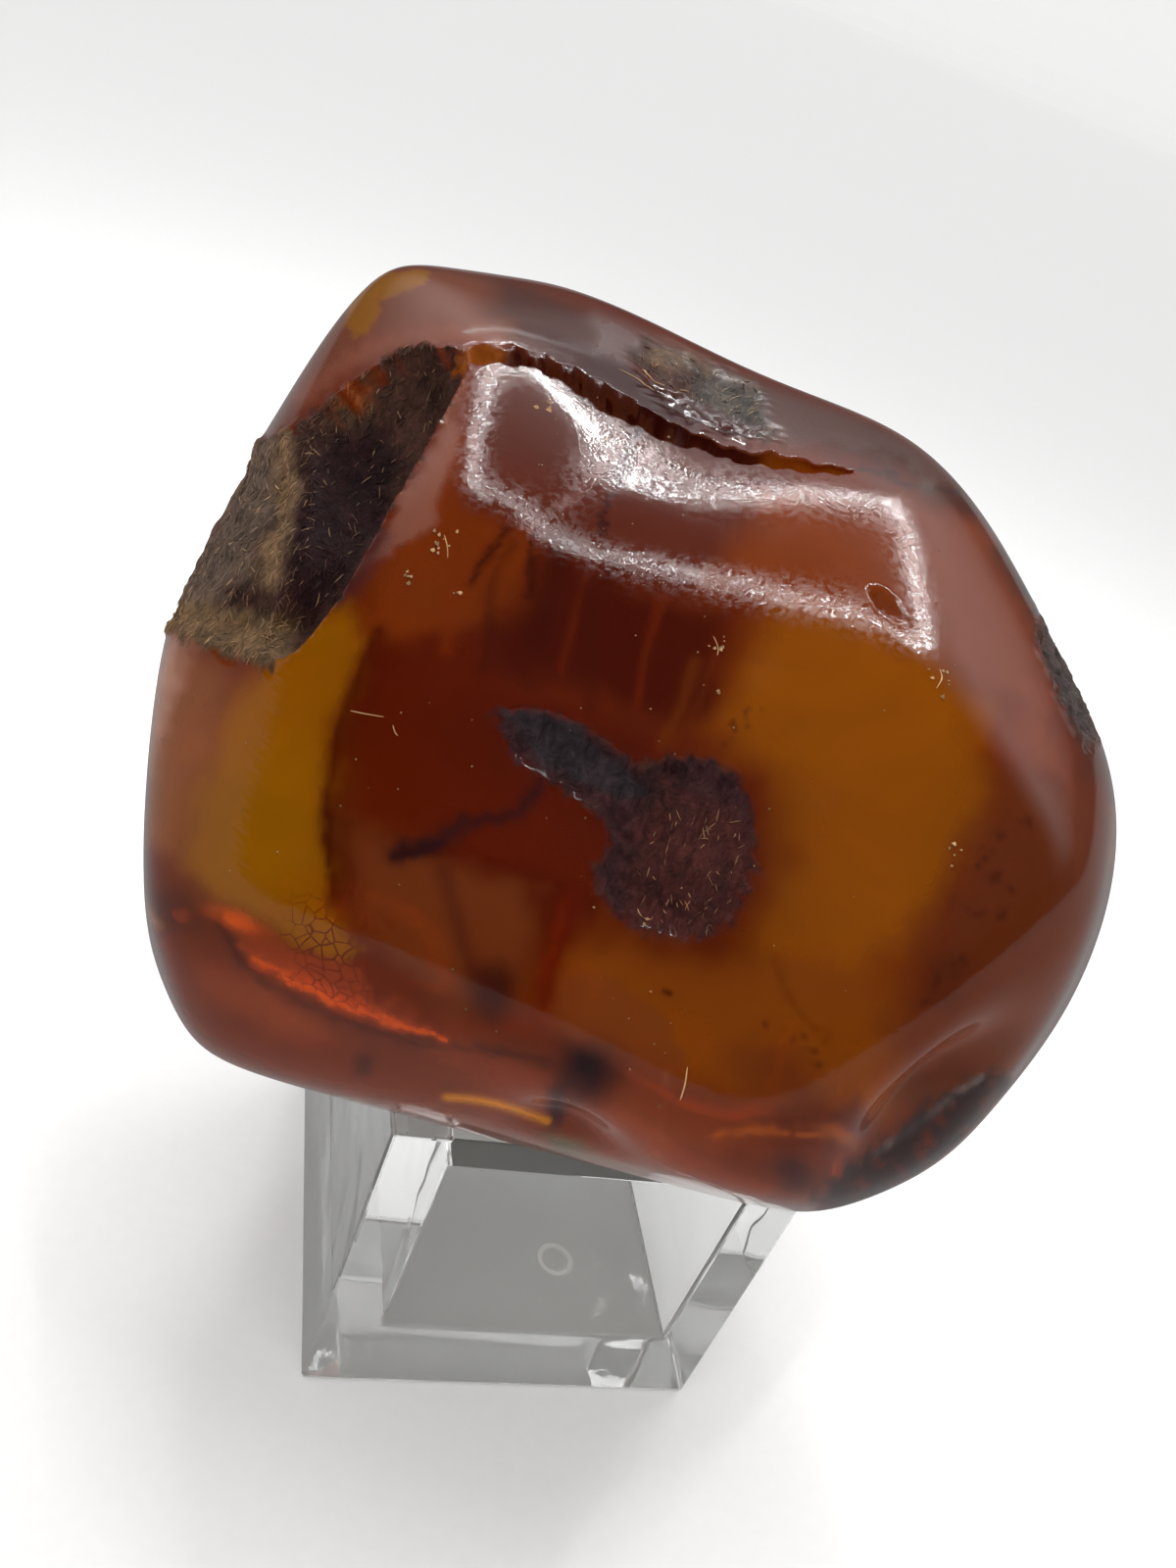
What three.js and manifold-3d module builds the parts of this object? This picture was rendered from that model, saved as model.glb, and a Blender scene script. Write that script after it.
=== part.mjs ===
// A polished amber nugget resting on its clear display stand.
// Millimetres, +Z up. The origin is the middle of the stand's footprint, on the surface it stands on.
// The stand's open front faces -Y. The nugget's show side faces the viewer, who stands in front,
// a little to the left and above.

import * as THREE from "three";
import { mergeVertices } from "three/addons/utils/BufferGeometryUtils.js";
import Module from "manifold-3d";

const wasm = await Module();
wasm.setup();

// Driving dimensions of the stand, a short square tube moulded in one piece
const STAND = {
  width: 32,
  depth: 32,
  height: 29.2,
  sideWall: 4.6,
  floor: 7.6,
  topPlate: 2.9,
  edge: 0.3,
  gateMark: { x: 3.1, y: -9.4, radius: 0.7, depth: 0.4, sides: 12 },
};

// Driving dimensions of the nugget
const NUGGET = {
  middle: new THREE.Vector3(-4, 1.6, 51),
  rest: STAND.height + 0.3,
  sharpness: 36,
  detail: 19,
};

// The polished facets: the way each one faces, as a bearing from +X toward +Y and a climb above level,
// in degrees, and its distance from the nugget's middle
const FACETS = [
  { name: "cap", bearing: 0, climb: 90, reach: 24.6 },
  { name: "cap left", bearing: 114, climb: 73, reach: 30.1 },
  { name: "cap back", bearing: 52, climb: 77, reach: 31.5 },
  { name: "cap right", bearing: 3, climb: 65, reach: 28.2 },
  { name: "right slope", bearing: -14, climb: 49, reach: 28.9 },
  { name: "right shoulder", bearing: -30, climb: 30, reach: 32.2 },
  { name: "right tip", bearing: -39, climb: 12, reach: 34 },
  { name: "right flank", bearing: -50, climb: -4, reach: 34.3 },
  { name: "right heel", bearing: -68, climb: -24, reach: 33.6 },
  { name: "right foot", bearing: -92, climb: -38, reach: 32.4 },
  { name: "front foot", bearing: -102, climb: -42, reach: 28 },
  { name: "left foot", bearing: -131, climb: -37, reach: 34.7 },
  { name: "left heel", bearing: -157, climb: -23, reach: 34.7 },
  { name: "left flank", bearing: -177, climb: -4, reach: 31.9 },
  { name: "left side", bearing: 170, climb: 17, reach: 31.7 },
  { name: "left corner", bearing: 161, climb: 43, reach: 37.4 },
  { name: "front", bearing: -110, climb: 27, reach: 26 },
  { name: "front upper", bearing: -103, climb: 43, reach: 25.5 },
  { name: "upper front", bearing: -106, climb: 70, reach: 25 },
  { name: "front right top", bearing: -47, climb: 62, reach: 26.6 },
  { name: "front right", bearing: -69, climb: 20, reach: 33 },
  { name: "front left", bearing: -148, climb: 20, reach: 30.8 },
  { name: "front left near", bearing: -124, climb: 26, reach: 27.9 },
  { name: "undercut", bearing: -113, climb: -15, reach: 29.6 },
  { name: "front right low", bearing: -81, climb: 2, reach: 33 },
  { name: "hollow side", bearing: -166, climb: 44, reach: 29.6 },
  { name: "hollow rim", bearing: -150, climb: 58, reach: 28.8 },
  { name: "underside", bearing: 0, climb: -90, reach: NUGGET.middle.z - NUGGET.rest },
  { name: "back", bearing: 68, climb: 0, reach: 22.5 },
  { name: "back top", bearing: 60, climb: 45, reach: 28 },
  { name: "back low", bearing: 75, climb: -42, reach: 26 },
  { name: "back left", bearing: 118, climb: 5, reach: 27.5 },
  { name: "back right", bearing: 22, climb: -5, reach: 31 },
  { name: "left back", bearing: 160, climb: -20, reach: 32.5 },
  { name: "right back", bearing: -5, climb: -35, reach: 35 },
];

// The show side as its viewer sees it: the marks on it are given as [right, up] in millimetres
// from the middle of that view, measured at the depth of the nugget's middle
const SHOW = {
  turn: 21.5,
  climb: 32.6,
  viewer: new THREE.Vector3(-31.84, -76.88, 49.08),
  distance: 96.5,
  offset: [1.5, 3.56],
  fadeFrom: 0.25,
  fadeTo: -0.05,
};

// Shallow hollows of the show side: outline, depth, and the width of the slope inside the outline
const HOLLOWS = [
  {
    name: "crust",
    depth: 1.6,
    slope: 1.3,
    outline: [
      [-21, 21.5], [-25, 20.5], [-28, 16], [-31, 12], [-34, 8], [-35, 0], [-34.5, -5],
      [-29, -5], [-25.8, -4.7], [-23.8, -1], [-22.5, 3.5], [-21.5, 10], [-20.7, 16],
    ],
  },
  {
    name: "dark patch",
    depth: 0.5,
    slope: 0.8,
    outline: [
      [-10, -1.3], [-7, 0], [-3, 0.2], [1, -1], [3.5, 0.6], [6, 1.5], [8.5, 0.9], [10.6, -1.8],
      [12, -5], [12, -8.5], [10, -11], [6.5, -12], [3.5, -11.5], [1, -9.5], [1.5, -7], [0, -5.4],
      [-4, -4.6], [-7.5, -4],
    ],
  },
  {
    name: "chip",
    depth: 0.9,
    slope: 0.9,
    outline: [[11.6, 16.9], [12.6, 17.5], [14.2, 17], [15.6, 15.9], [14.7, 15.3], [13, 15.7]],
  },
  {
    name: "rough top",
    depth: 0.5,
    slope: 1.2,
    outline: [
      [-10.7, 26.2], [-9.6, 27.6], [-5, 28.2], [-0.6, 27.4], [0.8, 25.4], [2.2, 23.9], [-0.4, 23.2],
      [-3.4, 23.3], [-7.7, 23.9],
    ],
  },
  {
    name: "rough shoulder",
    depth: 0.5,
    slope: 1,
    outline: [[23, 20.5], [25, 19], [28, 16.2], [31, 13.2], [29.7, 11.8], [27, 14], [24, 17.5]],
  },
];

// The deep crusted hollow at the show side's upper left. Its rings go down from above the surface:
// each is the outline drawn in toward its middle and sunk by that many millimetres
const DEEP_HOLLOW = {
  outline: [
    [-20.8, 21], [-23, 20.8], [-25.5, 19.2], [-28.2, 15.5], [-29.8, 12], [-28.8, 8], [-27.9, 4],
    [-28.4, 0], [-28.6, -2.6], [-26, -3.6], [-24.4, -2.4], [-23.2, 0.8], [-22.4, 4], [-21.6, 9.5],
    [-20.8, 16],
  ],
  middle: [-24.8, 9],
  rings: [
    { scale: 1, sink: -3 },
    { scale: 1, sink: 0.4 },
    { scale: 0.9, sink: 2.2 },
    { scale: 0.74, sink: 3.9 },
    { scale: 0.42, sink: 5 },
  ],
};

// The open crack along the top of the show side, its two lips read from left to right
const CRACK = {
  lips: [
    { right: -21.2, upper: 22.2, lower: 20.4 },
    { right: -18.5, upper: 23.4, lower: 21.6 },
    { right: -16, upper: 23.7, lower: 22.4 },
    { right: -13, upper: 23.9, lower: 22.1 },
    { right: -10.5, upper: 23.7, lower: 21.5 },
    { right: -8, upper: 23.3, lower: 21.5 },
    { right: -5.5, upper: 22.9, lower: 21.2 },
    { right: -3, upper: 22.7, lower: 21.6 },
    { right: -0.5, upper: 22.6, lower: 21.6 },
    { right: 2, upper: 23.2, lower: 22.1 },
    { right: 4.5, upper: 23.4, lower: 22.6 },
    { right: 7.5, upper: 23.9, lower: 23.6 },
  ],
  depth: 6,
  endDepth: 2,
  lift: 2.5,
  bedWidth: 0.3,
};

// Soft hollows worn in the stone, placed like the facets: four in the far sides, the notch at the foot
// and the two that make the long hollow of the right heel
const WORN = [
  { bearing: 80, climb: 30, spread: 0.3, depth: 1.6 },
  { bearing: 30, climb: 12, spread: 0.26, depth: 1.5 },
  { bearing: 135, climb: -18, spread: 0.3, depth: 1.8 },
  { bearing: 60, climb: -30, spread: 0.22, depth: 1.2 },
  { bearing: -101, climb: -19, spread: 0.08, depth: 1.6 },
  { bearing: -66, climb: -5, spread: 0.1, depth: 2 },
  { bearing: -61, climb: 1, spread: 0.1, depth: 2 },
];

// Low waves left by hand polishing, as waves across the three axes
const POLISH = { height: 0.16, waves: [[5.1, 3.3, 2.7, 0.4], [-3.9, 5.7, 4.1, 1.9], [4.3, -2.9, 6.1, 3.1]] };

const AMBER = new THREE.MeshStandardMaterial({ color: 0x8f3206, roughness: 0.16, metalness: 0 });
const CLEAR = new THREE.MeshStandardMaterial({ color: 0xdfe5e3, roughness: 0.06, metalness: 0 });

const radians = THREE.MathUtils.degToRad;
const smooth = (x) => THREE.MathUtils.smoothstep(x, 0, 1);

// The unit vector that faces a bearing and a climb
function facing(bearing, climb) {
  const [b, c] = [radians(bearing), radians(climb)];
  return new THREE.Vector3(Math.cos(c) * Math.cos(b), Math.cos(c) * Math.sin(b), Math.sin(c));
}

const facets = FACETS.map(({ bearing, climb, reach }) => ({ normal: facing(bearing, climb), reach }));
const worn = WORN.map((dent) => ({ ...dent, toward: facing(dent.bearing, dent.climb) }));

const showRight = new THREE.Vector3(Math.cos(radians(SHOW.turn)), -Math.sin(radians(SHOW.turn)), 0);
const showAhead = facing(90 - SHOW.turn, -SHOW.climb);
const showUp = new THREE.Vector3().crossVectors(showRight, showAhead);
const towardViewer = SHOW.viewer.clone().normalize();

// Where a point, measured from the nugget's middle, shows in the viewer's [right, up] picture
function inShow(point) {
  const fromViewer = point.clone().sub(SHOW.viewer);
  const scale = SHOW.distance / fromViewer.dot(showAhead);
  return [
    fromViewer.dot(showRight) * scale - SHOW.offset[0],
    fromViewer.dot(showUp) * scale - SHOW.offset[1],
  ];
}

// Distance from a point to a closed outline, positive inside it
function insideOutline([x, y], outline) {
  let nearest = Infinity;
  let inside = false;
  outline.forEach(([ax, ay], i) => {
    const [bx, by] = outline[(i + 1) % outline.length];
    const [ex, ey] = [bx - ax, by - ay];
    const along = THREE.MathUtils.clamp(((x - ax) * ex + (y - ay) * ey) / (ex * ex + ey * ey), 0, 1);
    nearest = Math.min(nearest, Math.hypot(x - ax - along * ex, y - ay - along * ey));
    if (ay > y !== by > y && x < ax + ((y - ay) * ex) / ey) inside = !inside;
  });
  return inside ? nearest : -nearest;
}

// The faceted body's radius along a direction, with its edges rounded as by polishing
function facetRadius(direction) {
  let sum = 0;
  for (const { normal, reach } of facets) {
    sum += Math.pow(Math.max(direction.dot(normal), 0) / reach, NUGGET.sharpness);
  }
  return Math.pow(sum, -1 / NUGGET.sharpness);
}

// How far the surface lies below the faceted body along a direction
function hollowDepth(direction, radius) {
  const seen = smooth((direction.dot(towardViewer) - SHOW.fadeTo) / (SHOW.fadeFrom - SHOW.fadeTo));
  const place = inShow(direction.clone().multiplyScalar(radius));
  let depth = 0;
  for (const { outline, depth: full, slope } of HOLLOWS) {
    depth += seen * full * smooth(insideOutline(place, outline) / slope);
  }
  for (const { toward, spread, depth: full } of worn) {
    depth += full * Math.exp(-(1 - direction.dot(toward)) / (spread * spread));
  }
  for (const [x, y, z, phase] of POLISH.waves) {
    const wave = Math.sin(x * direction.x + y * direction.y + z * direction.z + phase);
    depth += POLISH.height * (1 + wave) * (1 - smooth(-2 * direction.z - 0.6));
  }
  return depth;
}

// The nugget's surface as a closed mesh around its middle
function nuggetSurface() {
  const shell = new THREE.IcosahedronGeometry(1, NUGGET.detail);
  const places = shell.attributes.position;
  const direction = new THREE.Vector3();
  for (let i = 0; i < places.count; i += 1) {
    direction.fromBufferAttribute(places, i).normalize();
    const radius = facetRadius(direction);
    direction.multiplyScalar(radius - hollowDepth(direction, radius));
    places.setXYZ(i, direction.x, direction.y, direction.z);
  }
  return shell;
}

// The point of the faceted body that shows at a place in the viewer's picture
function onShow(right, up) {
  const ray = showAhead.clone().multiplyScalar(SHOW.distance);
  ray.addScaledVector(showRight, right + SHOW.offset[0]);
  ray.addScaledVector(showUp, up + SHOW.offset[1]);
  let near = 0.5;
  let far = 1;
  for (let step = 0; step < 30; step += 1) {
    const half = (near + far) / 2;
    const point = SHOW.viewer.clone().addScaledVector(ray, half);
    const inside = point.length() < facetRadius(point.clone().normalize());
    if (inside) far = half;
    else near = half;
  }
  return SHOW.viewer.clone().addScaledVector(ray, far);
}

// The wedge that opens the crack: each station has two outer points above the lips and two at the bed
function crackWedge() {
  const last = CRACK.lips.length - 1;
  const points = [];
  CRACK.lips.forEach(({ right, upper, lower }, i) => {
    const upperLip = onShow(right, upper);
    const lowerLip = onShow(right, lower);
    const outward = upperLip.clone().add(lowerLip).normalize();
    const bed = upperLip.clone().add(lowerLip).multiplyScalar(0.5);
    const depth = CRACK.endDepth + (CRACK.depth - CRACK.endDepth) * Math.sin((Math.PI * i) / last);
    bed.addScaledVector(outward, -depth);
    const across = upperLip.clone().sub(lowerLip).setLength(CRACK.bedWidth / 2);
    points.push(upperLip.clone().addScaledVector(outward, CRACK.lift));
    points.push(lowerLip.clone().addScaledVector(outward, CRACK.lift));
    points.push(bed.clone().sub(across), bed.clone().add(across));
  });
  const index = [0, 2, 1, 0, 3, 2];
  for (let i = 0; i < last; i += 1) {
    for (let side = 0; side < 4; side += 1) {
      const [a, b] = [4 * i + side, 4 * i + ((side + 1) % 4)];
      index.push(a, b, b + 4, a, b + 4, a + 4);
    }
  }
  const end = 4 * last;
  index.push(end, end + 1, end + 2, end, end + 2, end + 3);
  const wedge = new THREE.BufferGeometry().setFromPoints(points);
  wedge.setIndex(index);
  return wedge;
}

// The scoop that opens the deep hollow: its rings, closed by a fan at each end
function hollowScoop() {
  const { outline, middle, rings } = DEEP_HOLLOW;
  const outward = onShow(...middle).normalize();
  const sunk = ([right, up], sink) => onShow(right, up).addScaledVector(outward, -sink);
  const points = [];
  for (const { scale, sink } of rings) {
    for (const [right, up] of outline) {
      const drawnIn = [middle[0] + scale * (right - middle[0]), middle[1] + scale * (up - middle[1])];
      points.push(sunk(drawnIn, sink));
    }
  }
  const top = points.push(sunk(middle, rings[0].sink)) - 1;
  const bed = points.push(sunk(middle, rings.at(-1).sink)) - 1;
  const count = outline.length;
  const lowest = count * (rings.length - 1);
  const index = [];
  for (let i = 0; i < count; i += 1) {
    const next = (i + 1) % count;
    index.push(top, i, next, bed, lowest + next, lowest + i);
    for (let ring = 0; ring < lowest; ring += count) {
      const [a, b] = [ring + i, ring + next];
      index.push(a, b + count, b, a, a + count, b + count);
    }
  }
  const scoop = new THREE.BufferGeometry().setFromPoints(points);
  scoop.setIndex(index);
  return scoop;
}

// A closed geometry as a solid that can be joined or cut
function toSolid(geometry) {
  geometry.deleteAttribute("normal");
  geometry.deleteAttribute("uv");
  const merged = mergeVertices(geometry, 1e-4);
  const vertProperties = new Float32Array(merged.attributes.position.array);
  const triVerts = new Uint32Array(merged.index.array);
  return new wasm.Manifold(new wasm.Mesh({ numProp: 3, vertProperties, triVerts }));
}

// A solid back as a geometry
function toGeometry(solid) {
  const { vertProperties, triVerts } = solid.getMesh();
  const geometry = new THREE.BufferGeometry();
  geometry.setAttribute("position", new THREE.BufferAttribute(new Float32Array(vertProperties), 3));
  geometry.setIndex(new THREE.BufferAttribute(new Uint32Array(triVerts), 1));
  geometry.computeVertexNormals();
  return geometry;
}

function makeNugget() {
  const stone = toSolid(nuggetSurface()).subtract(toSolid(hollowScoop())).subtract(toSolid(crackWedge()));
  const nugget = new THREE.Mesh(toGeometry(stone), AMBER);
  nugget.name = "nugget";
  nugget.position.copy(NUGGET.middle);
  return nugget;
}

// The stand's front outline with its opening
function standOutline() {
  const [half, inner] = [STAND.width / 2, STAND.width / 2 - STAND.sideWall];
  const e = STAND.edge;
  const outline = new THREE.Shape([
    new THREE.Vector2(-half + e, 0),
    new THREE.Vector2(half - e, 0),
    new THREE.Vector2(half, e),
    new THREE.Vector2(half, STAND.height - e),
    new THREE.Vector2(half - e, STAND.height),
    new THREE.Vector2(-half + e, STAND.height),
    new THREE.Vector2(-half, STAND.height - e),
    new THREE.Vector2(-half, e),
  ]);
  const ceiling = STAND.height - STAND.topPlate;
  outline.holes.push(
    new THREE.Path([
      new THREE.Vector2(-inner, STAND.floor),
      new THREE.Vector2(-inner, ceiling),
      new THREE.Vector2(inner, ceiling),
      new THREE.Vector2(inner, STAND.floor),
    ]),
  );
  return outline;
}

function makeStand() {
  const tube = new THREE.ExtrudeGeometry(standOutline(), { depth: STAND.depth, bevelEnabled: false });
  tube.rotateX(Math.PI / 2).translate(0, STAND.depth / 2, 0);
  const { x, y, radius, depth, sides } = STAND.gateMark;
  const mark = new THREE.CylinderGeometry(radius, radius, 2 * depth, sides);
  mark.rotateX(Math.PI / 2).translate(x, y, STAND.floor);
  const stand = new THREE.Mesh(toGeometry(toSolid(tube).subtract(toSolid(mark))), CLEAR);
  stand.name = "stand";
  return stand;
}

const display = new THREE.Group();
display.add(makeStand(), makeNugget());

export default display;
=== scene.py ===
"""Looks of a polished amber nugget resting on its clear moulded stand.

Lengths are millimetres until a mesh is made, and metres in the scene.
"""

import logging
import math
from dataclasses import dataclass
from enum import Enum
from typing import Iterable, Sequence

import bmesh
import bpy
import numpy as np
from mathutils import Matrix, Vector


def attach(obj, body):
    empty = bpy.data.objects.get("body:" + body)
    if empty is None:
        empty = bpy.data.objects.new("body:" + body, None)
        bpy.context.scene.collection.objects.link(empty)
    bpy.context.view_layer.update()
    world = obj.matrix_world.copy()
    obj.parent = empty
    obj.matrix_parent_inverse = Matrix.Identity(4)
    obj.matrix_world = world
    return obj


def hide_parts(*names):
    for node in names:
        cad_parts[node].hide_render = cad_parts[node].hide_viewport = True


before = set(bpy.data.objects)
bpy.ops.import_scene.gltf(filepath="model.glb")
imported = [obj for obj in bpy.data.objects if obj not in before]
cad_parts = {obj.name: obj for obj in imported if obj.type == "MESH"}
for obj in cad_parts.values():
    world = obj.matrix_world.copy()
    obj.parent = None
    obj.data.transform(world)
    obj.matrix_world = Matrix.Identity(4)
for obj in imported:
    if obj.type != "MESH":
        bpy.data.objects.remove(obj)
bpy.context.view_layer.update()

MM = 0.001
TINT = "tint"
Point = tuple[float, float]
Colour = tuple[float, float, float]

log = logging.getLogger("amber")


def unit(vector: Sequence[float]) -> np.ndarray:
    """A vector at length one."""
    array = np.asarray(vector, float)
    return array / np.linalg.norm(array)


def facing(bearing: float, climb: float) -> np.ndarray:
    """The unit vector that faces a bearing from +X toward +Y and a climb above level, both in degrees."""
    b, c = math.radians(bearing), math.radians(climb)
    return np.array([math.cos(c) * math.cos(b), math.cos(c) * math.sin(b), math.sin(c)])


def smooth(x: np.ndarray) -> np.ndarray:
    """A smooth step from 0 at 0 to 1 at 1."""
    t = np.clip(x, 0.0, 1.0)
    return t * t * (3.0 - 2.0 * t)


def off_stretch(points: np.ndarray, start: Point, end: Point) -> np.ndarray:
    """Distance from points to a straight stretch.

    Args:
        points: an array of [right, up] rows.
        start: one end of the stretch.
        end: its other end.

    Returns:
        One distance for each row.
    """
    x, y = points[:, 0] - start[0], points[:, 1] - start[1]
    run, rise = end[0] - start[0], end[1] - start[1]
    along = np.clip((x * run + y * rise) / (run * run + rise * rise), 0.0, 1.0)
    return np.hypot(x - along * run, y - along * rise)


def near_line(points: np.ndarray, line: Sequence[Point]) -> np.ndarray:
    """Distance from [right, up] rows to an open line of straight stretches."""
    return np.minimum.reduce([off_stretch(points, start, end) for start, end in zip(line[:-1], line[1:])])


def inside_outline(points: np.ndarray, outline: Sequence[Point]) -> np.ndarray:
    """Distance from points to a closed outline, positive inside it.

    Args:
        points: an array of [right, up] rows.
        outline: the corners in order.

    Returns:
        One distance for each row.
    """
    corners = np.asarray(outline, float)
    closed = np.concatenate([corners, corners[:1]])
    within = np.zeros(len(points), bool)
    x, y = points[:, 0], points[:, 1]
    for (ax, ay), (bx, by) in zip(closed[:-1], closed[1:]):
        if ay != by:
            within ^= ((ay > y) != (by > y)) & (x < ax + (y - ay) * (bx - ax) / (by - ay))
    nearest = near_line(points, closed)
    return np.where(within, nearest, -nearest)


@dataclass(frozen=True)
class Waves:
    """Seeded smooth noise made of sine waves that turn each octave."""

    pitch: float
    octaves: int = 4
    seed: int = 1

    def at(self, points: np.ndarray) -> np.ndarray:
        """The noise at some places.

        Args:
            points: rows of millimetre values.

        Returns:
            One value for each row, about -1 to 1.
        """
        rng = np.random.default_rng(self.seed)
        total = np.zeros(len(points))
        weight, size = 1.0, self.pitch
        for _ in range(self.octaves):
            layer = np.zeros(len(points))
            for _ in range(5):
                way = unit(rng.normal(size=points.shape[1])) * 2.0 * math.pi / size
                layer += np.sin(points @ way + rng.uniform(0, 2.0 * math.pi))
            total += weight * layer / 2.6
            weight *= 0.55
            size *= 0.52
        return total / 1.6


def shifts(places: np.ndarray, pitch: float, octaves: int, seed: int) -> np.ndarray:
    """Seeded noise that shifts [right, up] rows, of a pitch and a number of octaves."""
    return np.stack([Waves(pitch, octaves, seed + k).at(places) for k in (0, 1)], axis=1)


def lay_colour(tint: np.ndarray, colour: "Colour | np.ndarray", share: np.ndarray) -> None:
    """Moves rows of colour toward a colour, by a share for each row."""
    tint += share[:, None] * (np.asarray(colour) - tint)


@dataclass(frozen=True)
class Show:
    """The show side as its viewer sees it, with places as [right, up] millimetres."""

    turn: float = 21.5
    climb: float = 32.6
    viewer: tuple[float, float, float] = (-31.84, -76.88, 49.08)
    distance: float = 96.5
    offset: Point = (1.5, 3.56)
    fade_from: float = 0.25
    fade_to: float = -0.05

    @property
    def right(self) -> np.ndarray:
        """The viewer's right."""
        return np.array([math.cos(math.radians(self.turn)), -math.sin(math.radians(self.turn)), 0.0])

    @property
    def ahead(self) -> np.ndarray:
        """The way the viewer looks."""
        return facing(90.0 - self.turn, -self.climb)

    @property
    def up(self) -> np.ndarray:
        """The viewer's up."""
        return np.cross(self.right, self.ahead)

    def place(self, points: np.ndarray) -> np.ndarray:
        """Where points, measured from the nugget's middle, show in the viewer's picture.

        Args:
            points: rows of three millimetre values.

        Returns:
            Rows of [right, up].
        """
        away = points - np.array(self.viewer)
        scale = self.distance / (away @ self.ahead)
        right, up = (away @ self.right) * scale, (away @ self.up) * scale
        return np.stack([right - self.offset[0], up - self.offset[1]], axis=1)

    def seen(self, directions: np.ndarray) -> np.ndarray:
        """How much the show side's marks count along unit rows, from 0 on the far side to 1."""
        return smooth((directions @ unit(self.viewer) - self.fade_to) / (self.fade_from - self.fade_to))

    def rays(self, places: np.ndarray) -> np.ndarray:
        """The rays from the viewer through [right, up] rows, each as long as the viewing distance."""
        right = np.outer(places[:, 0] + self.offset[0], self.right)
        return self.ahead * self.distance + right + np.outer(places[:, 1] + self.offset[1], self.up)


@dataclass(frozen=True)
class Facet:
    """A polished facet: the way it faces and its distance from the middle."""

    name: str
    bearing: float
    climb: float
    reach: float


@dataclass(frozen=True)
class Hollow:
    """A shallow hollow of the show side, with the width of the slope inside its outline."""

    name: str
    depth: float
    slope: float
    outline: tuple[Point, ...]


@dataclass(frozen=True)
class Worn:
    """A soft hollow worn in the stone."""

    bearing: float
    climb: float
    spread: float
    depth: float


FACETS = (
    Facet("cap", 0, 90, 24.6),
    Facet("cap left", 114, 73, 30.1),
    Facet("cap back", 52, 77, 31.5),
    Facet("cap right", 3, 65, 28.2),
    Facet("right slope", -14, 49, 28.9),
    Facet("right shoulder", -30, 30, 32.2),
    Facet("right tip", -39, 12, 34),
    Facet("right flank", -50, -4, 34.3),
    Facet("right heel", -68, -24, 33.6),
    Facet("right foot", -92, -38, 32.4),
    Facet("front foot", -102, -42, 28),
    Facet("left foot", -131, -37, 34.7),
    Facet("left heel", -157, -23, 34.7),
    Facet("left flank", -177, -4, 31.9),
    Facet("left side", 170, 17, 31.7),
    Facet("left corner", 161, 43, 37.4),
    Facet("front", -110, 27, 26),
    Facet("front upper", -103, 43, 25.5),
    Facet("upper front", -106, 70, 25),
    Facet("front right top", -47, 62, 26.6),
    Facet("front right", -69, 20, 33),
    Facet("front left", -148, 20, 30.8),
    Facet("front left near", -124, 26, 27.9),
    Facet("undercut", -113, -15, 29.6),
    Facet("front right low", -81, 2, 33),
    Facet("hollow side", -166, 44, 29.6),
    Facet("hollow rim", -150, 58, 28.8),
    Facet("underside", 0, -90, 21.5),
    Facet("back", 68, 0, 22.5),
    Facet("back top", 60, 45, 28),
    Facet("back low", 75, -42, 26),
    Facet("back left", 118, 5, 27.5),
    Facet("back right", 22, -5, 31),
    Facet("left back", 160, -20, 32.5),
    Facet("right back", -5, -35, 35),
)

CRUST_OUTLINE = (
    (-21, 21.5), (-25, 20.5), (-28, 16), (-31, 12), (-34, 8), (-35, 0), (-34.5, -5),
    (-29, -5), (-25.8, -4.7), (-23.8, -1), (-22.5, 3.5), (-21.5, 10), (-20.7, 16),
)
PATCH_OUTLINE = (
    (-10, -1.3), (-7, 0), (-3, 0.2), (1, -1), (3.5, 0.6), (6, 1.5), (8.5, 0.9), (10.6, -1.8),
    (12, -5), (12, -8.5), (10, -11), (6.5, -12), (3.5, -11.5), (1, -9.5), (1.5, -7), (0, -5.4),
    (-4, -4.6), (-7.5, -4),
)
ROUGH_TOP_OUTLINE = (
    (-10.7, 26.2), (-9.6, 27.6), (-5, 28.2), (-0.6, 27.4), (0.8, 25.4), (2.2, 23.9), (-0.4, 23.2),
    (-3.4, 23.3), (-7.7, 23.9),
)
ROUGH_SHOULDER_OUTLINE = ((23, 20.5), (25, 19), (28, 16.2), (31, 13.2), (29.7, 11.8), (27, 14), (24, 17.5))
HEEL_OUTLINE = (
    (23.6, -24.6), (24.8, -21.2), (26.6, -18.8), (28.6, -15.2), (30.3, -13), (32.6, -10.9),
    (36, -12), (35, -18), (31, -23), (26, -28),
)
SLAB_OUTLINE = ((-13.5, 24.6), (-8, 24.8), (-4, 23.4), (2, 23.2), (7, 24.4), (16, 25), (14, 31), (-14, 31))
CRUSTED = (
    (CRUST_OUTLINE, 0.5), (PATCH_OUTLINE, 0.6), (ROUGH_TOP_OUTLINE, 1.4), (ROUGH_SHOULDER_OUTLINE, 0.8),
)
HOLLOWS = (
    Hollow("crust", 1.2, 2.6, CRUST_OUTLINE),
    Hollow("dark patch", 0.5, 0.8, PATCH_OUTLINE),
    Hollow("chip", 0.9, 0.9, (
        (11.6, 16.9), (12.6, 17.5), (14.2, 17), (15.6, 15.9), (14.7, 15.3), (13, 15.7),
    )),
    Hollow("rough top", 0.5, 1.2, ROUGH_TOP_OUTLINE),
    Hollow("rough shoulder", 0.5, 1.0, ROUGH_SHOULDER_OUTLINE),
)
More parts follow.
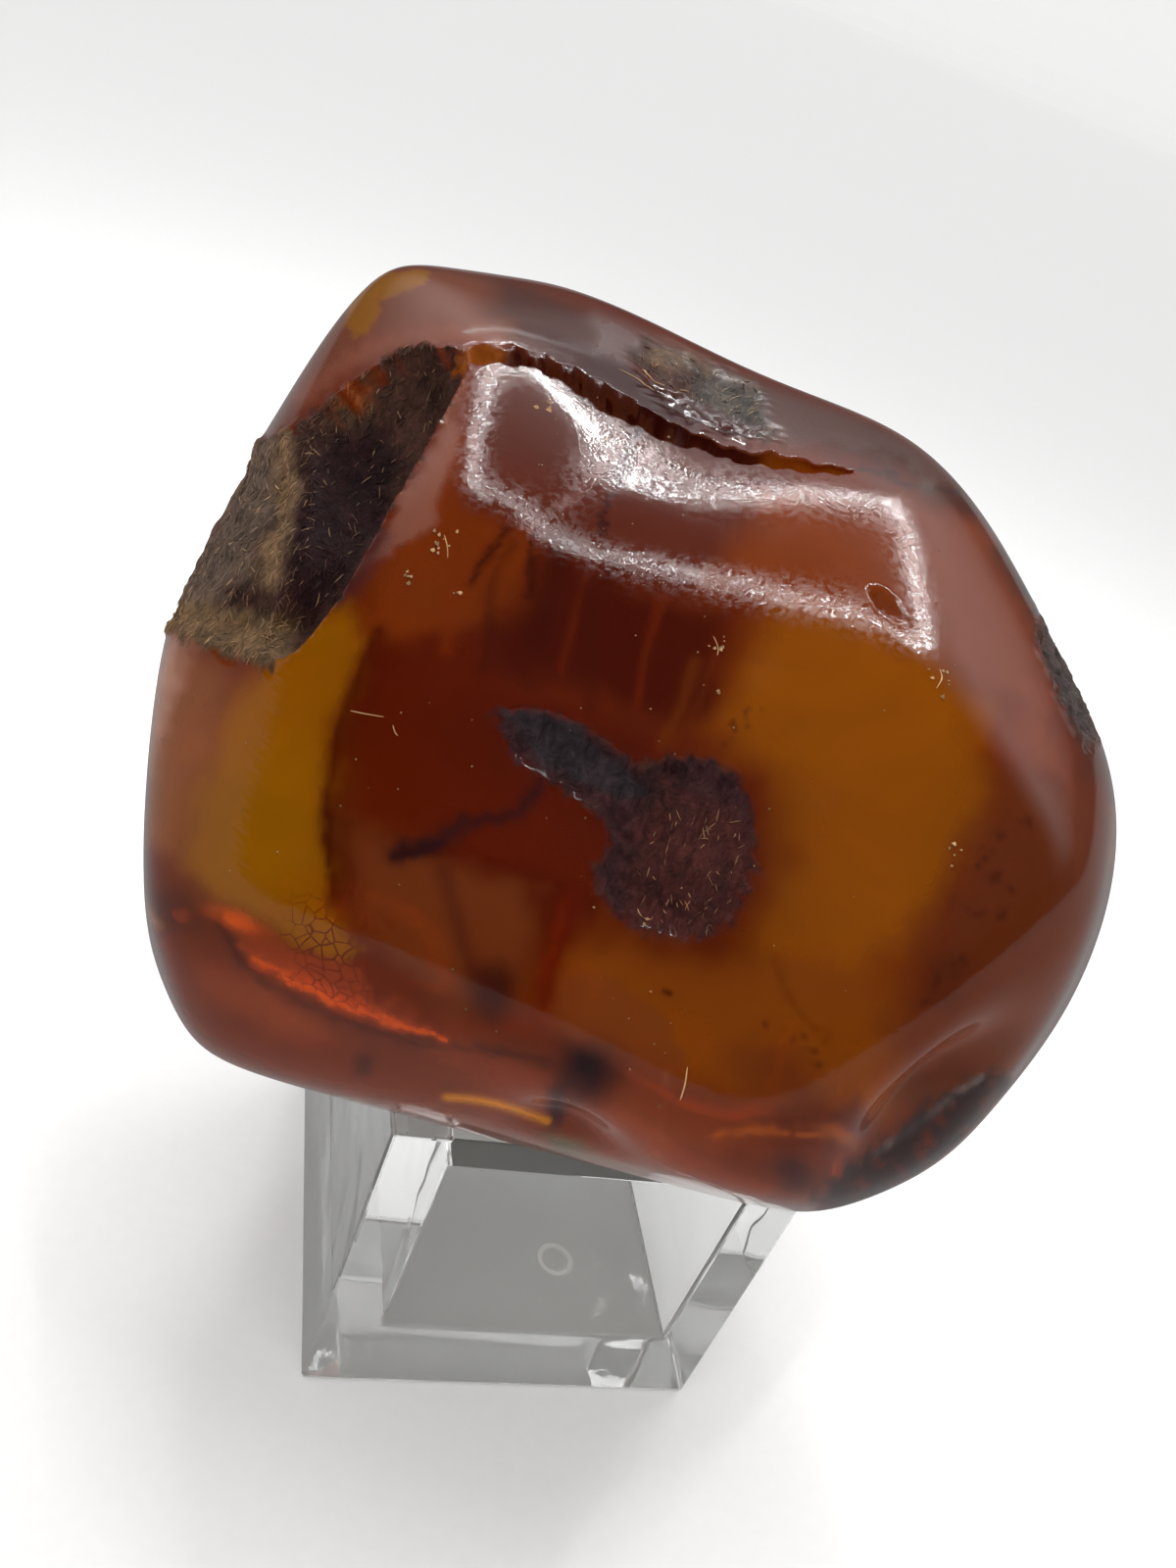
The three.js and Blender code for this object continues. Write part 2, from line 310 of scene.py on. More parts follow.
WORN = (
    Worn(80, 30, 0.3, 1.6),
    Worn(30, 12, 0.26, 1.5),
    Worn(135, -18, 0.3, 1.8),
    Worn(60, -30, 0.22, 1.2),
    Worn(-101, -19, 0.08, 1.6),
    Worn(-66, -5, 0.1, 2),
    Worn(-61, 1, 0.1, 2),
)


@dataclass(frozen=True)
class Lip:
    """A station of the open crack: how far right it is, and its two lips."""

    right: float
    upper: float
    lower: float


CRACK_LIPS = (
    Lip(-21.2, 22.2, 20.4), Lip(-18.5, 23.4, 21.6), Lip(-16, 23.7, 22.4), Lip(-13, 23.9, 22.1),
    Lip(-10.5, 23.7, 21.5), Lip(-8, 23.3, 21.5), Lip(-5.5, 22.9, 21.2), Lip(-3, 22.7, 21.6),
    Lip(-0.5, 22.6, 21.6), Lip(2, 23.2, 22.1), Lip(4.5, 23.4, 22.6), Lip(7.5, 23.9, 23.6),
)


@dataclass(frozen=True)
class Ring:
    """A level of the deep hollow: its outline drawn in, and sunk below the surface."""

    scale: float
    sink: float


@dataclass(frozen=True)
class DeepHollow:
    """The deep crusted hollow at the show side's upper left."""

    outline: tuple[Point, ...] = (
        (-20.8, 21), (-23, 20.8), (-25.5, 19.2), (-28.2, 15.5), (-29.8, 12), (-28.8, 8), (-27.9, 4),
        (-28.4, 0), (-28.6, -2.6), (-26, -3.6), (-24.4, -2.4), (-23.2, 0.8), (-22.4, 4), (-21.6, 9.5),
        (-20.8, 16),
    )
    middle: Point = (-24.8, 9)
    rings: tuple[Ring, ...] = (Ring(1, -3), Ring(1, 0.4), Ring(0.9, 2.2), Ring(0.74, 3.9), Ring(0.42, 5))


def catmull(points: np.ndarray, steps: int, closed: bool) -> np.ndarray:
    """A smooth line through points.

    Args:
        points: the rows that the line passes through.
        steps: how many stretches each span is cut into.
        closed: whether the line returns to its start.

    Returns:
        The rows along the smooth line.
    """
    count = len(points)
    spans = count if closed else count - 1
    rows = []
    for i in range(spans):
        ids = [(i + k) % count if closed else min(max(i + k, 0), count - 1) for k in (-1, 0, 1, 2)]
        a, b, c, d = (points[k] for k in ids)
        for t in np.arange(steps) / steps:
            bent = (2 * a - 5 * b + 4 * c - d) * t**2
            rows.append(0.5 * (2 * b + (c - a) * t + bent + (3 * b - a - 3 * c + d) * t**3))
    if not closed:
        rows.append(points[-1])
    return np.array(rows)


def geodesic(parts: int) -> tuple[np.ndarray, np.ndarray]:
    """A sphere of near-equal triangles.

    Args:
        parts: how many parts each edge of the icosahedron is cut into.

    Returns:
        The unit rows of its points, and its triangles.
    """
    seed = bmesh.new()
    bmesh.ops.create_icosphere(seed, subdivisions=1, radius=1.0)
    corners = np.array([v.co for v in seed.verts])
    faces = [[v.index for v in f.verts] for f in seed.faces]
    seed.free()
    grid = [(i, j) for i in range(parts + 1) for j in range(parts + 1 - i)]
    number = {cell: k for k, cell in enumerate(grid)}
    weights = np.array([(parts - i - j, i, j) for i, j in grid], float) / parts
    cells = []
    for i, j in grid:
        if i + j < parts:
            cells.append((number[i, j], number[i + 1, j], number[i, j + 1]))
        if i + j < parts - 1:
            cells.append((number[i + 1, j], number[i + 1, j + 1], number[i, j + 1]))
    local = np.array(cells)
    points = np.concatenate([weights @ corners[face] for face in faces])
    triangles = np.concatenate([local + k * len(grid) for k in range(len(faces))])
    points /= np.linalg.norm(points, axis=1, keepdims=True)
    _, first, same = np.unique(np.round(points, 6), axis=0, return_index=True, return_inverse=True)
    return points[first], same.reshape(-1)[triangles]


def add_object(name: str, data: bpy.types.ID) -> bpy.types.Object:
    """Adds an object that holds a mesh, a camera or a light to the scene."""
    obj = bpy.data.objects.new(name, data)
    bpy.context.scene.collection.objects.link(obj)
    return obj


def make_object(name: str, points: np.ndarray, faces: Iterable[Sequence[int]]) -> bpy.types.Object:
    """A mesh object from points in millimetres.

    Args:
        name: the object's name.
        points: rows of three millimetre values.
        faces: the corner numbers of each face.

    Returns:
        The object, in metres.
    """
    mesh = bpy.data.meshes.new(name)
    mesh.from_pydata((np.asarray(points) * MM).tolist(), [], [list(map(int, f)) for f in faces])
    mesh.update()
    return add_object(name, mesh)


def vectors_of(obj: bpy.types.Object, kind: str) -> np.ndarray:
    """The vectors kept on an object's points.

    Args:
        obj: a mesh object.
        kind: "co" for the places in metres, or "normal".

    Returns:
        Rows of three values.
    """
    flat = np.zeros(len(obj.data.vertices) * 3, np.float32)
    obj.data.vertices.foreach_get(kind, flat)
    return flat.reshape(-1, 3).astype(float)


def keep_values(obj: bpy.types.Object, name: str, values: np.ndarray) -> None:
    """Keeps a number or a colour on each of an object's points.

    Args:
        obj: a mesh object.
        name: what the values are called.
        values: one number for each point, or rows of red, green and blue.
    """
    if values.ndim == 1:
        layer = obj.data.attributes.new(name, "FLOAT", "POINT")
        layer.data.foreach_set("value", values.astype(np.float32))
        return
    layer = obj.data.attributes.new(name, "FLOAT_COLOR", "POINT")
    coloured = np.concatenate([values, np.ones((len(values), 1))], axis=1)
    layer.data.foreach_set("color", coloured.astype(np.float32).ravel())


def recalculate(obj: bpy.types.Object) -> None:
    """Cuts a closed object's faces into triangles and turns them outward.

    Args:
        obj: a closed mesh object.
    """
    shape = bmesh.new()
    shape.from_mesh(obj.data)
    bmesh.ops.triangulate(shape, faces=shape.faces[:])
    bmesh.ops.recalc_face_normals(shape, faces=shape.faces[:])
    shape.to_mesh(obj.data)
    shape.free()


def cut_away(obj: bpy.types.Object, cutter: bpy.types.Object) -> None:
    """Cuts one solid out of another, and removes the cutter.

    Args:
        obj: the solid that stays.
        cutter: the solid that is cut away.
    """
    cut = obj.modifiers.new("cut", "BOOLEAN")
    cut.operation = "DIFFERENCE"
    cut.solver = "MANIFOLD"
    cut.object = cutter
    bpy.context.view_layer.update()
    result = bpy.data.meshes.new_from_object(obj.evaluated_get(bpy.context.evaluated_depsgraph_get()))
    obj.modifiers.clear()
    obj.data = result
    bpy.data.objects.remove(cutter)


class Sock:
    """A shader socket that can be used in sums."""

    def __init__(self, tree: "Tree", socket: bpy.types.NodeSocket) -> None:
        """Keeps the tree and the socket."""
        self.tree = tree
        self.socket = socket

    def maths(self, operation: str, *values: "Sock | float") -> "Sock":
        """A Math node on this socket's tree, with its inputs in order."""
        return self.tree.node("Math", {"operation": operation}, dict(enumerate(values)))

    def __add__(self, other: "Sock | float") -> "Sock":
        """This plus other."""
        return self.maths("ADD", self, other)

    def __radd__(self, other: float) -> "Sock":
        """Other plus this."""
        return self.maths("ADD", other, self)

    def __sub__(self, other: "Sock | float") -> "Sock":
        """This minus other."""
        return self.maths("SUBTRACT", self, other)

    def __rsub__(self, other: float) -> "Sock":
        """Other minus this."""
        return self.maths("SUBTRACT", other, self)

    def __mul__(self, other: "Sock | float") -> "Sock":
        """This times other."""
        return self.maths("MULTIPLY", self, other)

    def __rmul__(self, other: float) -> "Sock":
        """Other times this."""
        return self.maths("MULTIPLY", other, self)

    def most(self, other: "Sock | float") -> "Sock":
        """The larger of this and other."""
        return self.maths("MAXIMUM", self, other)

    def size(self) -> "Sock":
        """This without its sign."""
        return self.maths("ABSOLUTE", self)

    def clamped(self) -> "Sock":
        """This held between 0 and 1."""
        return self.tree.node("Clamp", {}, {"Value": self})

    def step(self, low: float, high: float, first: float = 0.0, last: float = 1.0) -> "Sock":
        """A smooth step of this, from first at low to last at high."""
        inputs = {"Value": self, "From Min": low, "From Max": high, "To Min": first, "To Max": last}
        return self.tree.node("MapRange", {"interpolation_type": "SMOOTHSTEP"}, inputs, "Result")


class Tree:
    """The node tree of a material or a world."""

    def __init__(self, owner: "bpy.types.Material | bpy.types.World") -> None:
        """Empties the owner's tree."""
        self.owner = owner
        owner.use_nodes = True
        self.nodes, self.links = owner.node_tree.nodes, owner.node_tree.links
        self.nodes.clear()

    def node(self, kind: str, settings: dict, inputs: dict, output: "str | int" = 0) -> "Sock | None":
        """Adds a node.

        Args:
            kind: the node's type without its ShaderNode prefix.
            settings: attributes to set.
            inputs: values or sockets by input name or number.
            output: which output to return.

        Returns:
            The output, if the node has one.
        """
        node = self.nodes.new("ShaderNode" + kind)
        for key, value in settings.items():
            setattr(node, key, value)
        for key, value in inputs.items():
            if isinstance(value, Sock):
                self.links.new(value.socket, node.inputs[key])
            else:
                node.inputs[key].default_value = value
        return Sock(self, node.outputs[output]) if len(node.outputs) else None

    def ramp(self, factor: Sock, stops: Sequence[tuple[float, float]]) -> Sock:
        """A ramp of greys.

        Args:
            factor: where it is read.
            stops: places and levels in order.

        Returns:
            The ramp's colour.
        """
        colour = self.node("ValToRGB", {}, {0: factor})
        elements = colour.socket.node.color_ramp.elements
        while len(elements) < len(stops):
            elements.new(0.5)
        for element, (place, level) in zip(elements, stops):
            element.position = place
            element.color = (level, level, level, 1.0)
        return colour

    def tint(self) -> Sock:
        """The colour kept on the mesh's points."""
        return self.node("Attribute", {"attribute_name": TINT}, {}, "Color")

    def mask(self, mask: "Mask") -> Sock:
        """A mask kept on the mesh's points."""
        return self.node("Attribute", {"attribute_name": mask.value}, {}, "Fac")

    def place(self) -> Sock:
        """Places in metres in the row frame."""
        return self.node("NewGeometry", {}, {}, "Position")

    def stretched(self, vector: Sock, scale: float) -> Sock:
        """A vector with its upward part scaled."""
        return self.node("VectorMath", {"operation": "MULTIPLY"}, {0: vector, 1: (1.0, 1.0, scale)})

    def noise(
        self, vector: Sock, scale: float, detail: float = 3.0, rough: float = 0.5, bend: float = 0.0
    ) -> Sock:
        """Soft noise about 0.5, by its fineness per metre, octaves, their strength and its own bend."""
        inputs = {"Vector": vector, "Scale": scale, "Detail": detail, "Roughness": rough, "Distortion": bend}
        return self.node("TexNoise", {}, inputs, "Fac")

    def cells(self, vector: Sock, scale: float) -> Sock:
        """Distance to the borders of scattered cells, with their fineness per metre."""
        settings = {"feature": "DISTANCE_TO_EDGE"}
        return self.node("TexVoronoi", settings, {"Vector": vector, "Scale": scale}, "Distance")

    def grey(self, value: Sock) -> Sock:
        """A value as a grey colour."""
        return self.node("CombineColor", {}, {0: value, 1: value, 2: value})

    def wavy(self, vector: Sock, scale: float, amount: float) -> Sock:
        """A vector shifted by noise of a fineness per metre, by up to an amount in metres."""
        noise = self.node("TexNoise", {}, {"Vector": vector, "Scale": scale, "Detail": 2.0}, "Color")
        inputs = {0: noise, 1: (amount, amount, amount), 2: vector}
        return self.node("VectorMath", {"operation": "MULTIPLY_ADD"}, inputs)

    def blend(
        self, factor: "Sock | float", low: "Sock | Colour", high: "Sock | Colour", way: str = "MIX"
    ) -> Sock:
        """Combines two colours.

        Args:
            factor: how much of the second.
            low: the first colour.
            high: the second colour.
            way: how they combine.

        Returns:
            The combined colour.
        """
        low = low if isinstance(low, Sock) else (*low, 1.0)
        high = high if isinstance(high, Sock) else (*high, 1.0)
        return self.node("Mix", {"data_type": "RGBA", "blend_type": way}, {0: factor, 6: low, 7: high}, 2)

    def shaded(self, colour: Sock, level: Sock) -> Sock:
        """A colour times a level."""
        return self.blend(1.0, colour, self.grey(level), "MULTIPLY")

    def bump(self, strength: float, distance: float, height: Sock) -> Sock:
        """A normal bent by a height, over a distance in metres."""
        return self.node("Bump", {}, {"Strength": strength, "Distance": distance, "Height": height})

    def shader(self, inputs: dict) -> Sock:
        """A Principled shader with those inputs."""
        return self.node("BsdfPrincipled", {}, inputs)

    def mix_shaders(self, factor: "Sock | float", low: Sock, high: Sock) -> Sock:
        """Mixes two shaders."""
        return self.node("MixShader", {}, {0: factor, 1: low, 2: high})

    def finish(self, inputs: dict) -> bpy.types.Material:
        """Ends a material's tree with what its output takes, and gives the material."""
        self.node("OutputMaterial", {}, inputs)
        return self.owner


def srgb(red: int, green: int, blue: int) -> Colour:
    """A colour in the renderer's linear values from its 0 to 255 screen values."""
    levels = (red, green, blue)
    return tuple((v / 255 / 12.92) if v <= 10 else ((v / 255 + 0.055) / 1.055) ** 2.4 for v in levels)


class Mask(Enum):
    """The masks kept on the nugget's points."""

    CRUST = "crust"
    CLEAR = "clear"
    SCUFFED = "scuffed"
    SPECKLED = "speckled"
    NET = "net"
    # Painted shade on the reflection: where the reflection is weakened to stand in for dark surroundings.
    DIMMED_REFLECTION = "dimmed_reflection"


@dataclass(frozen=True)
class Zone:
    """A soft-edged patch of colour on the show side, with its share of clear amber."""

    name: str
    colour: Colour
    soft: float
    outline: tuple[Point, ...]
    strength: float = 1.0
    clear: float | None = None
    ragged: float = 0.6


@dataclass(frozen=True)
class Vein:
    """A crack, seam or dark thread inside the show side, or a line of painted highlight or glint, drawn
    along a line.
    """

    name: str
    colour: Colour
    width: float
    line: tuple[Point, ...]
    strength: float = 1.0
    clear: float | None = None
    wander: float = 0.25


@dataclass(frozen=True)
class Spot:
    """A soft round spot of colour on the show side."""

    name: str
    colour: Colour
    place: Point
    size: Point
    strength: float = 1.0
    clear: float | None = None


@dataclass(frozen=True)
class Net:
    """A round patch where fine cracks form a net."""

    place: Point
    size: Point
    strength: float


KEY_FROM = (-130.0, 62.0)
NETS = (Net((-13, -21), (5.2, 3.6), 1.0), Net((26.5, -1.5), (3.2, 7), 0.5))
CRACK_DARK = srgb(54, 9, 4)
CRACK_GLOW = srgb(186, 96, 10)
BODY = srgb(106, 36, 5)
FAR_HONEY = srgb(142, 68, 4)
FAR_EMBER = srgb(84, 20, 3)
ZONES = (
    Zone("top slab", srgb(80, 44, 36), 2.0, (
        (-32, 24.5), (-22, 23.5), (-10, 24.5), (-4, 23.4), (4, 24), (13, 24.5), (19, 23), (19, 32),
        (-30, 32),
    )),
    Zone("top right", srgb(84, 40, 22), 3.0, (
        (13, 24.5), (18, 22), (24, 17), (31, 9), (36, 12), (20, 30), (10, 30),
    )),
    Zone("upper left corner", srgb(118, 62, 42), 2.5, (
        (-33, 8), (-29, 15), (-25, 21), (-20, 23), (-21, 28), (-34, 27),
    )),
    Zone("upper facet", srgb(92, 40, 28), 3.0, (
        (-19, 22), (-18, 14), (-16, 12), (-5, 11), (4, 13), (4, 22), (-6, 21.5), (-12, 22.5),
    )),
    Zone("upper facet right", srgb(128, 56, 20), 4.0, (
        (1, 12.5), (8, 14.5), (16, 15.5), (12, 22), (3, 20),
    )),
    Zone("right facet", srgb(130, 60, 34), 2.5, (
        (12, 23), (14, 19), (17, 15.5), (24, 12), (30, 8), (24, 17), (18, 23),
    )),
    Zone("left brown", srgb(120, 46, 4), 3.0, (
        (-20, 20), (-18, 12), (-11, 10), (-9, 5), (-13, 1), (-18, 0), (-21, 2), (-20, 9),
    )),
    Zone("dark middle", srgb(66, 11, 3), 4.0, (
        (-10, 11), (3, 11), (5, 5), (3, 1.5), (-4, 2.5), (-11, 0), (-13, 2), (-11, 6),
    )),
    Zone("ember", srgb(88, 21, 2), 2.6, (
        (-18.6, 0), (-13, 3), (-9, 1), (2, 1), (3, -12), (0.5, -12), (-1, -20), (-6, -22), (-11, -20.5),
        (-15, -17.5), (-18.2, -10.5), (-18.9, -5),
    )),
    # Body colour lightened by a painted reflection of the floor over the lower front.
    Zone("ember low and sheen", srgb(116, 52, 20), 3.0, (
        (-17, -12), (-2, -12), (0, -19), (-4, -22), (-10, -20.5), (-14.5, -17),
    )),
    Zone("honey", srgb(146, 76, 2), 4.5, (
        (6, 13), (10, 14), (18, 14), (23, 10), (25, 4), (24, -4), (21, -10), (15, -12.5), (12.5, -9),
        (12.5, -3), (10, 1.5), (5, 3),
    )),
    Zone("honey low", srgb(138, 66, 12), 4.0, (
        (4, -12.5), (12, -11.5), (17, -9), (24, -8), (29, -13), (26, -19), (16, -20.5), (3, -19),
        (1.5, -15),
    )),
    Zone("pale lobe", srgb(122, 58, 26), 0.8, (
        (1.6, -18.5), (3, -16.4), (6, -15.7), (9.5, -16.6), (12, -19.5), (6, -21.5),
    ), 0.6),
    Zone("right brown", srgb(104, 46, 20), 4.0, (
        (25, 8), (33, 9), (37, 3), (36, -8), (33, -14), (28, -16), (24, -12), (25, -3),
    )),
    Zone("yellow", srgb(146, 84, 3), 2.2, (
        (-25.5, -3.5), (-22, 1.5), (-19.4, 0), (-19.2, -5), (-18.7, -10), (-17, -14), (-14.6, -18),
        (-12, -20),
        (-13, -22), (-20, -21), (-25.5, -19.6), (-27, -14), (-26.5, -8),
    )),
    # Painted reflection: the pale mauve along the left edge, where the surroundings are mirrored in the
    # polish.
    Zone("left reflection", srgb(140, 78, 40), 4.0, (
        (-34, -5), (-27, -6), (-26.5, -13), (-26, -19.5), (-31, -19), (-35, -10),
    )),
    # Painted reflection along the left rim.
    Zone("left rim reflection", srgb(214, 160, 136), 2.5, (
        (-37, -5), (-31.5, -5), (-30.4, -12), (-30.6, -20), (-37, -20),
    ), 0.75),
    Zone("low band", srgb(124, 48, 16), 2.2, (
        (-29, -19.5), (-22, -21.5), (-15, -24.5), (-5, -24.4), (0, -21.5), (10, -21), (18, -20),
        (24, -17), (27, -20),
        (22, -28), (8, -31), (-10, -34), (-26, -30), (-33, -20),
    ), clear=0.5),
    Zone("low clouds", srgb(146, 62, 26), 2.4, (
        (-22, -25), (-16, -25), (-11, -26.5), (-15, -28), (-21, -27),
    ), 0.7, 0.35),
    Zone("low right glow", srgb(142, 62, 26), 3.0, (
        (8, -20.5), (18, -20.5), (20, -23), (12, -26), (8, -24),
    ), 0.8, 0.4),
    # Painted reflection: the bright orange streak near the lower left edge is light reflected inside the
    # amber.
    Zone("orange streak reflection", srgb(164, 60, 18), 0.9, (
        (-21.8, -21.2), (-20.4, -21.1), (-17, -21.9), (-12, -22.2), (-8, -22.9), (-3.6, -23.8), (-8, -24.1),
        (-13, -24.3), (-18, -23.9), (-20.5, -22.6),
    ), 0.62, 0.35, 0.9),
    # Painted highlight: the pinkish light along the polished edge beside the hollow.
    Zone("rim highlight", srgb(150, 98, 82), 0.9, (
        (-19.9, 19.8), (-19.5, 16.4), (-18.9, 12.9), (-18.3, 9.8), (-19.3, 7.2), (-20.5, 5.6), (-21.6, 4.4),
        (-21.3, 9.5), (-20.6, 13), (-20.3, 17),
    ), 0.65),
    Zone("yellow window", srgb(178, 112, 22), 0.5, (
        (-29.6, 20), (-29, 23), (-27.6, 24.8), (-25.4, 25.2), (-25.4, 24), (-26.4, 22.6), (-27.2, 21),
        (-28.4, 19.6),
    ), 0.95, 0.5, 0.9),
)
SPOTS = (
    Spot("yellow core", srgb(160, 98, 5), (-21.6, -14.0), (4.2, 6.4), 0.8),
    Spot("drop", srgb(52, 18, 14), (-2.3, -19.4), (1.8, 2.2), 0.85),
    Spot("notch shadow", srgb(34, 16, 18), (6, -22.2), (2.8, 2.3), 1.0, 0.0),
    Spot("notch stem", srgb(40, 22, 22), (5, -25.2), (1.0, 2.0), 0.95, 0.0),
    Spot("notch foot", srgb(74, 70, 52), (6.6, -27.6), (2.0, 0.9), 0.9, 0.0),
    Spot("smudge right", srgb(80, 36, 24), (27, -7), (2.0, 2.2), 0.6),
    Spot("smudge low", srgb(92, 38, 22), (18.3, -17.6), (4.0, 2.4), 0.6),
    Spot("dark low right", srgb(44, 28, 27), (22, -23.4), (2.2, 1.5), 0.85, 0.0),
    Spot("dark low left", srgb(74, 38, 30), (-25, -22.6), (2.2, 1.6), 0.6),
    Spot("small dark", srgb(58, 26, 20), (-8.7, -27.7), (0.9, 0.9), 0.7),
    Spot("speck", srgb(30, 10, 6), (9.2, -15), (0.28, 0.22), 0.9),
    Spot("halo", srgb(70, 18, 6), (7.4, -5.2), (7.2, 8.2), 0.75),
    Spot("halo left", srgb(70, 14, 4), (-3, -2.5), (9.0, 4.4), 0.6),
    # Painted glow of the same inner reflection along the lower left streak.
    Spot("streak glow", srgb(244, 96, 24), (-20.9, -21.7), (1.6, 0.6), 0.95, 0.4),
    Spot("streak glow low", srgb(196, 66, 12), (-12.4, -23.8), (5.0, 0.5), 0.85, 0.4),
    # Painted glint at the right end of the lower right edge.
    Spot("right glint glow", srgb(190, 92, 26), (23.6, -19.7), (1.6, 0.5), 0.9, 0.5),
)
# Lines of painted highlight along the crack's upper and lower lips.
UPPER_LIP_HIGHLIGHT = tuple((lip.right, lip.upper + 0.3) for lip in CRACK_LIPS[:9])
LOWER_LIP_HIGHLIGHT = tuple((lip.right, lip.lower - 0.2) for lip in CRACK_LIPS[1:10])
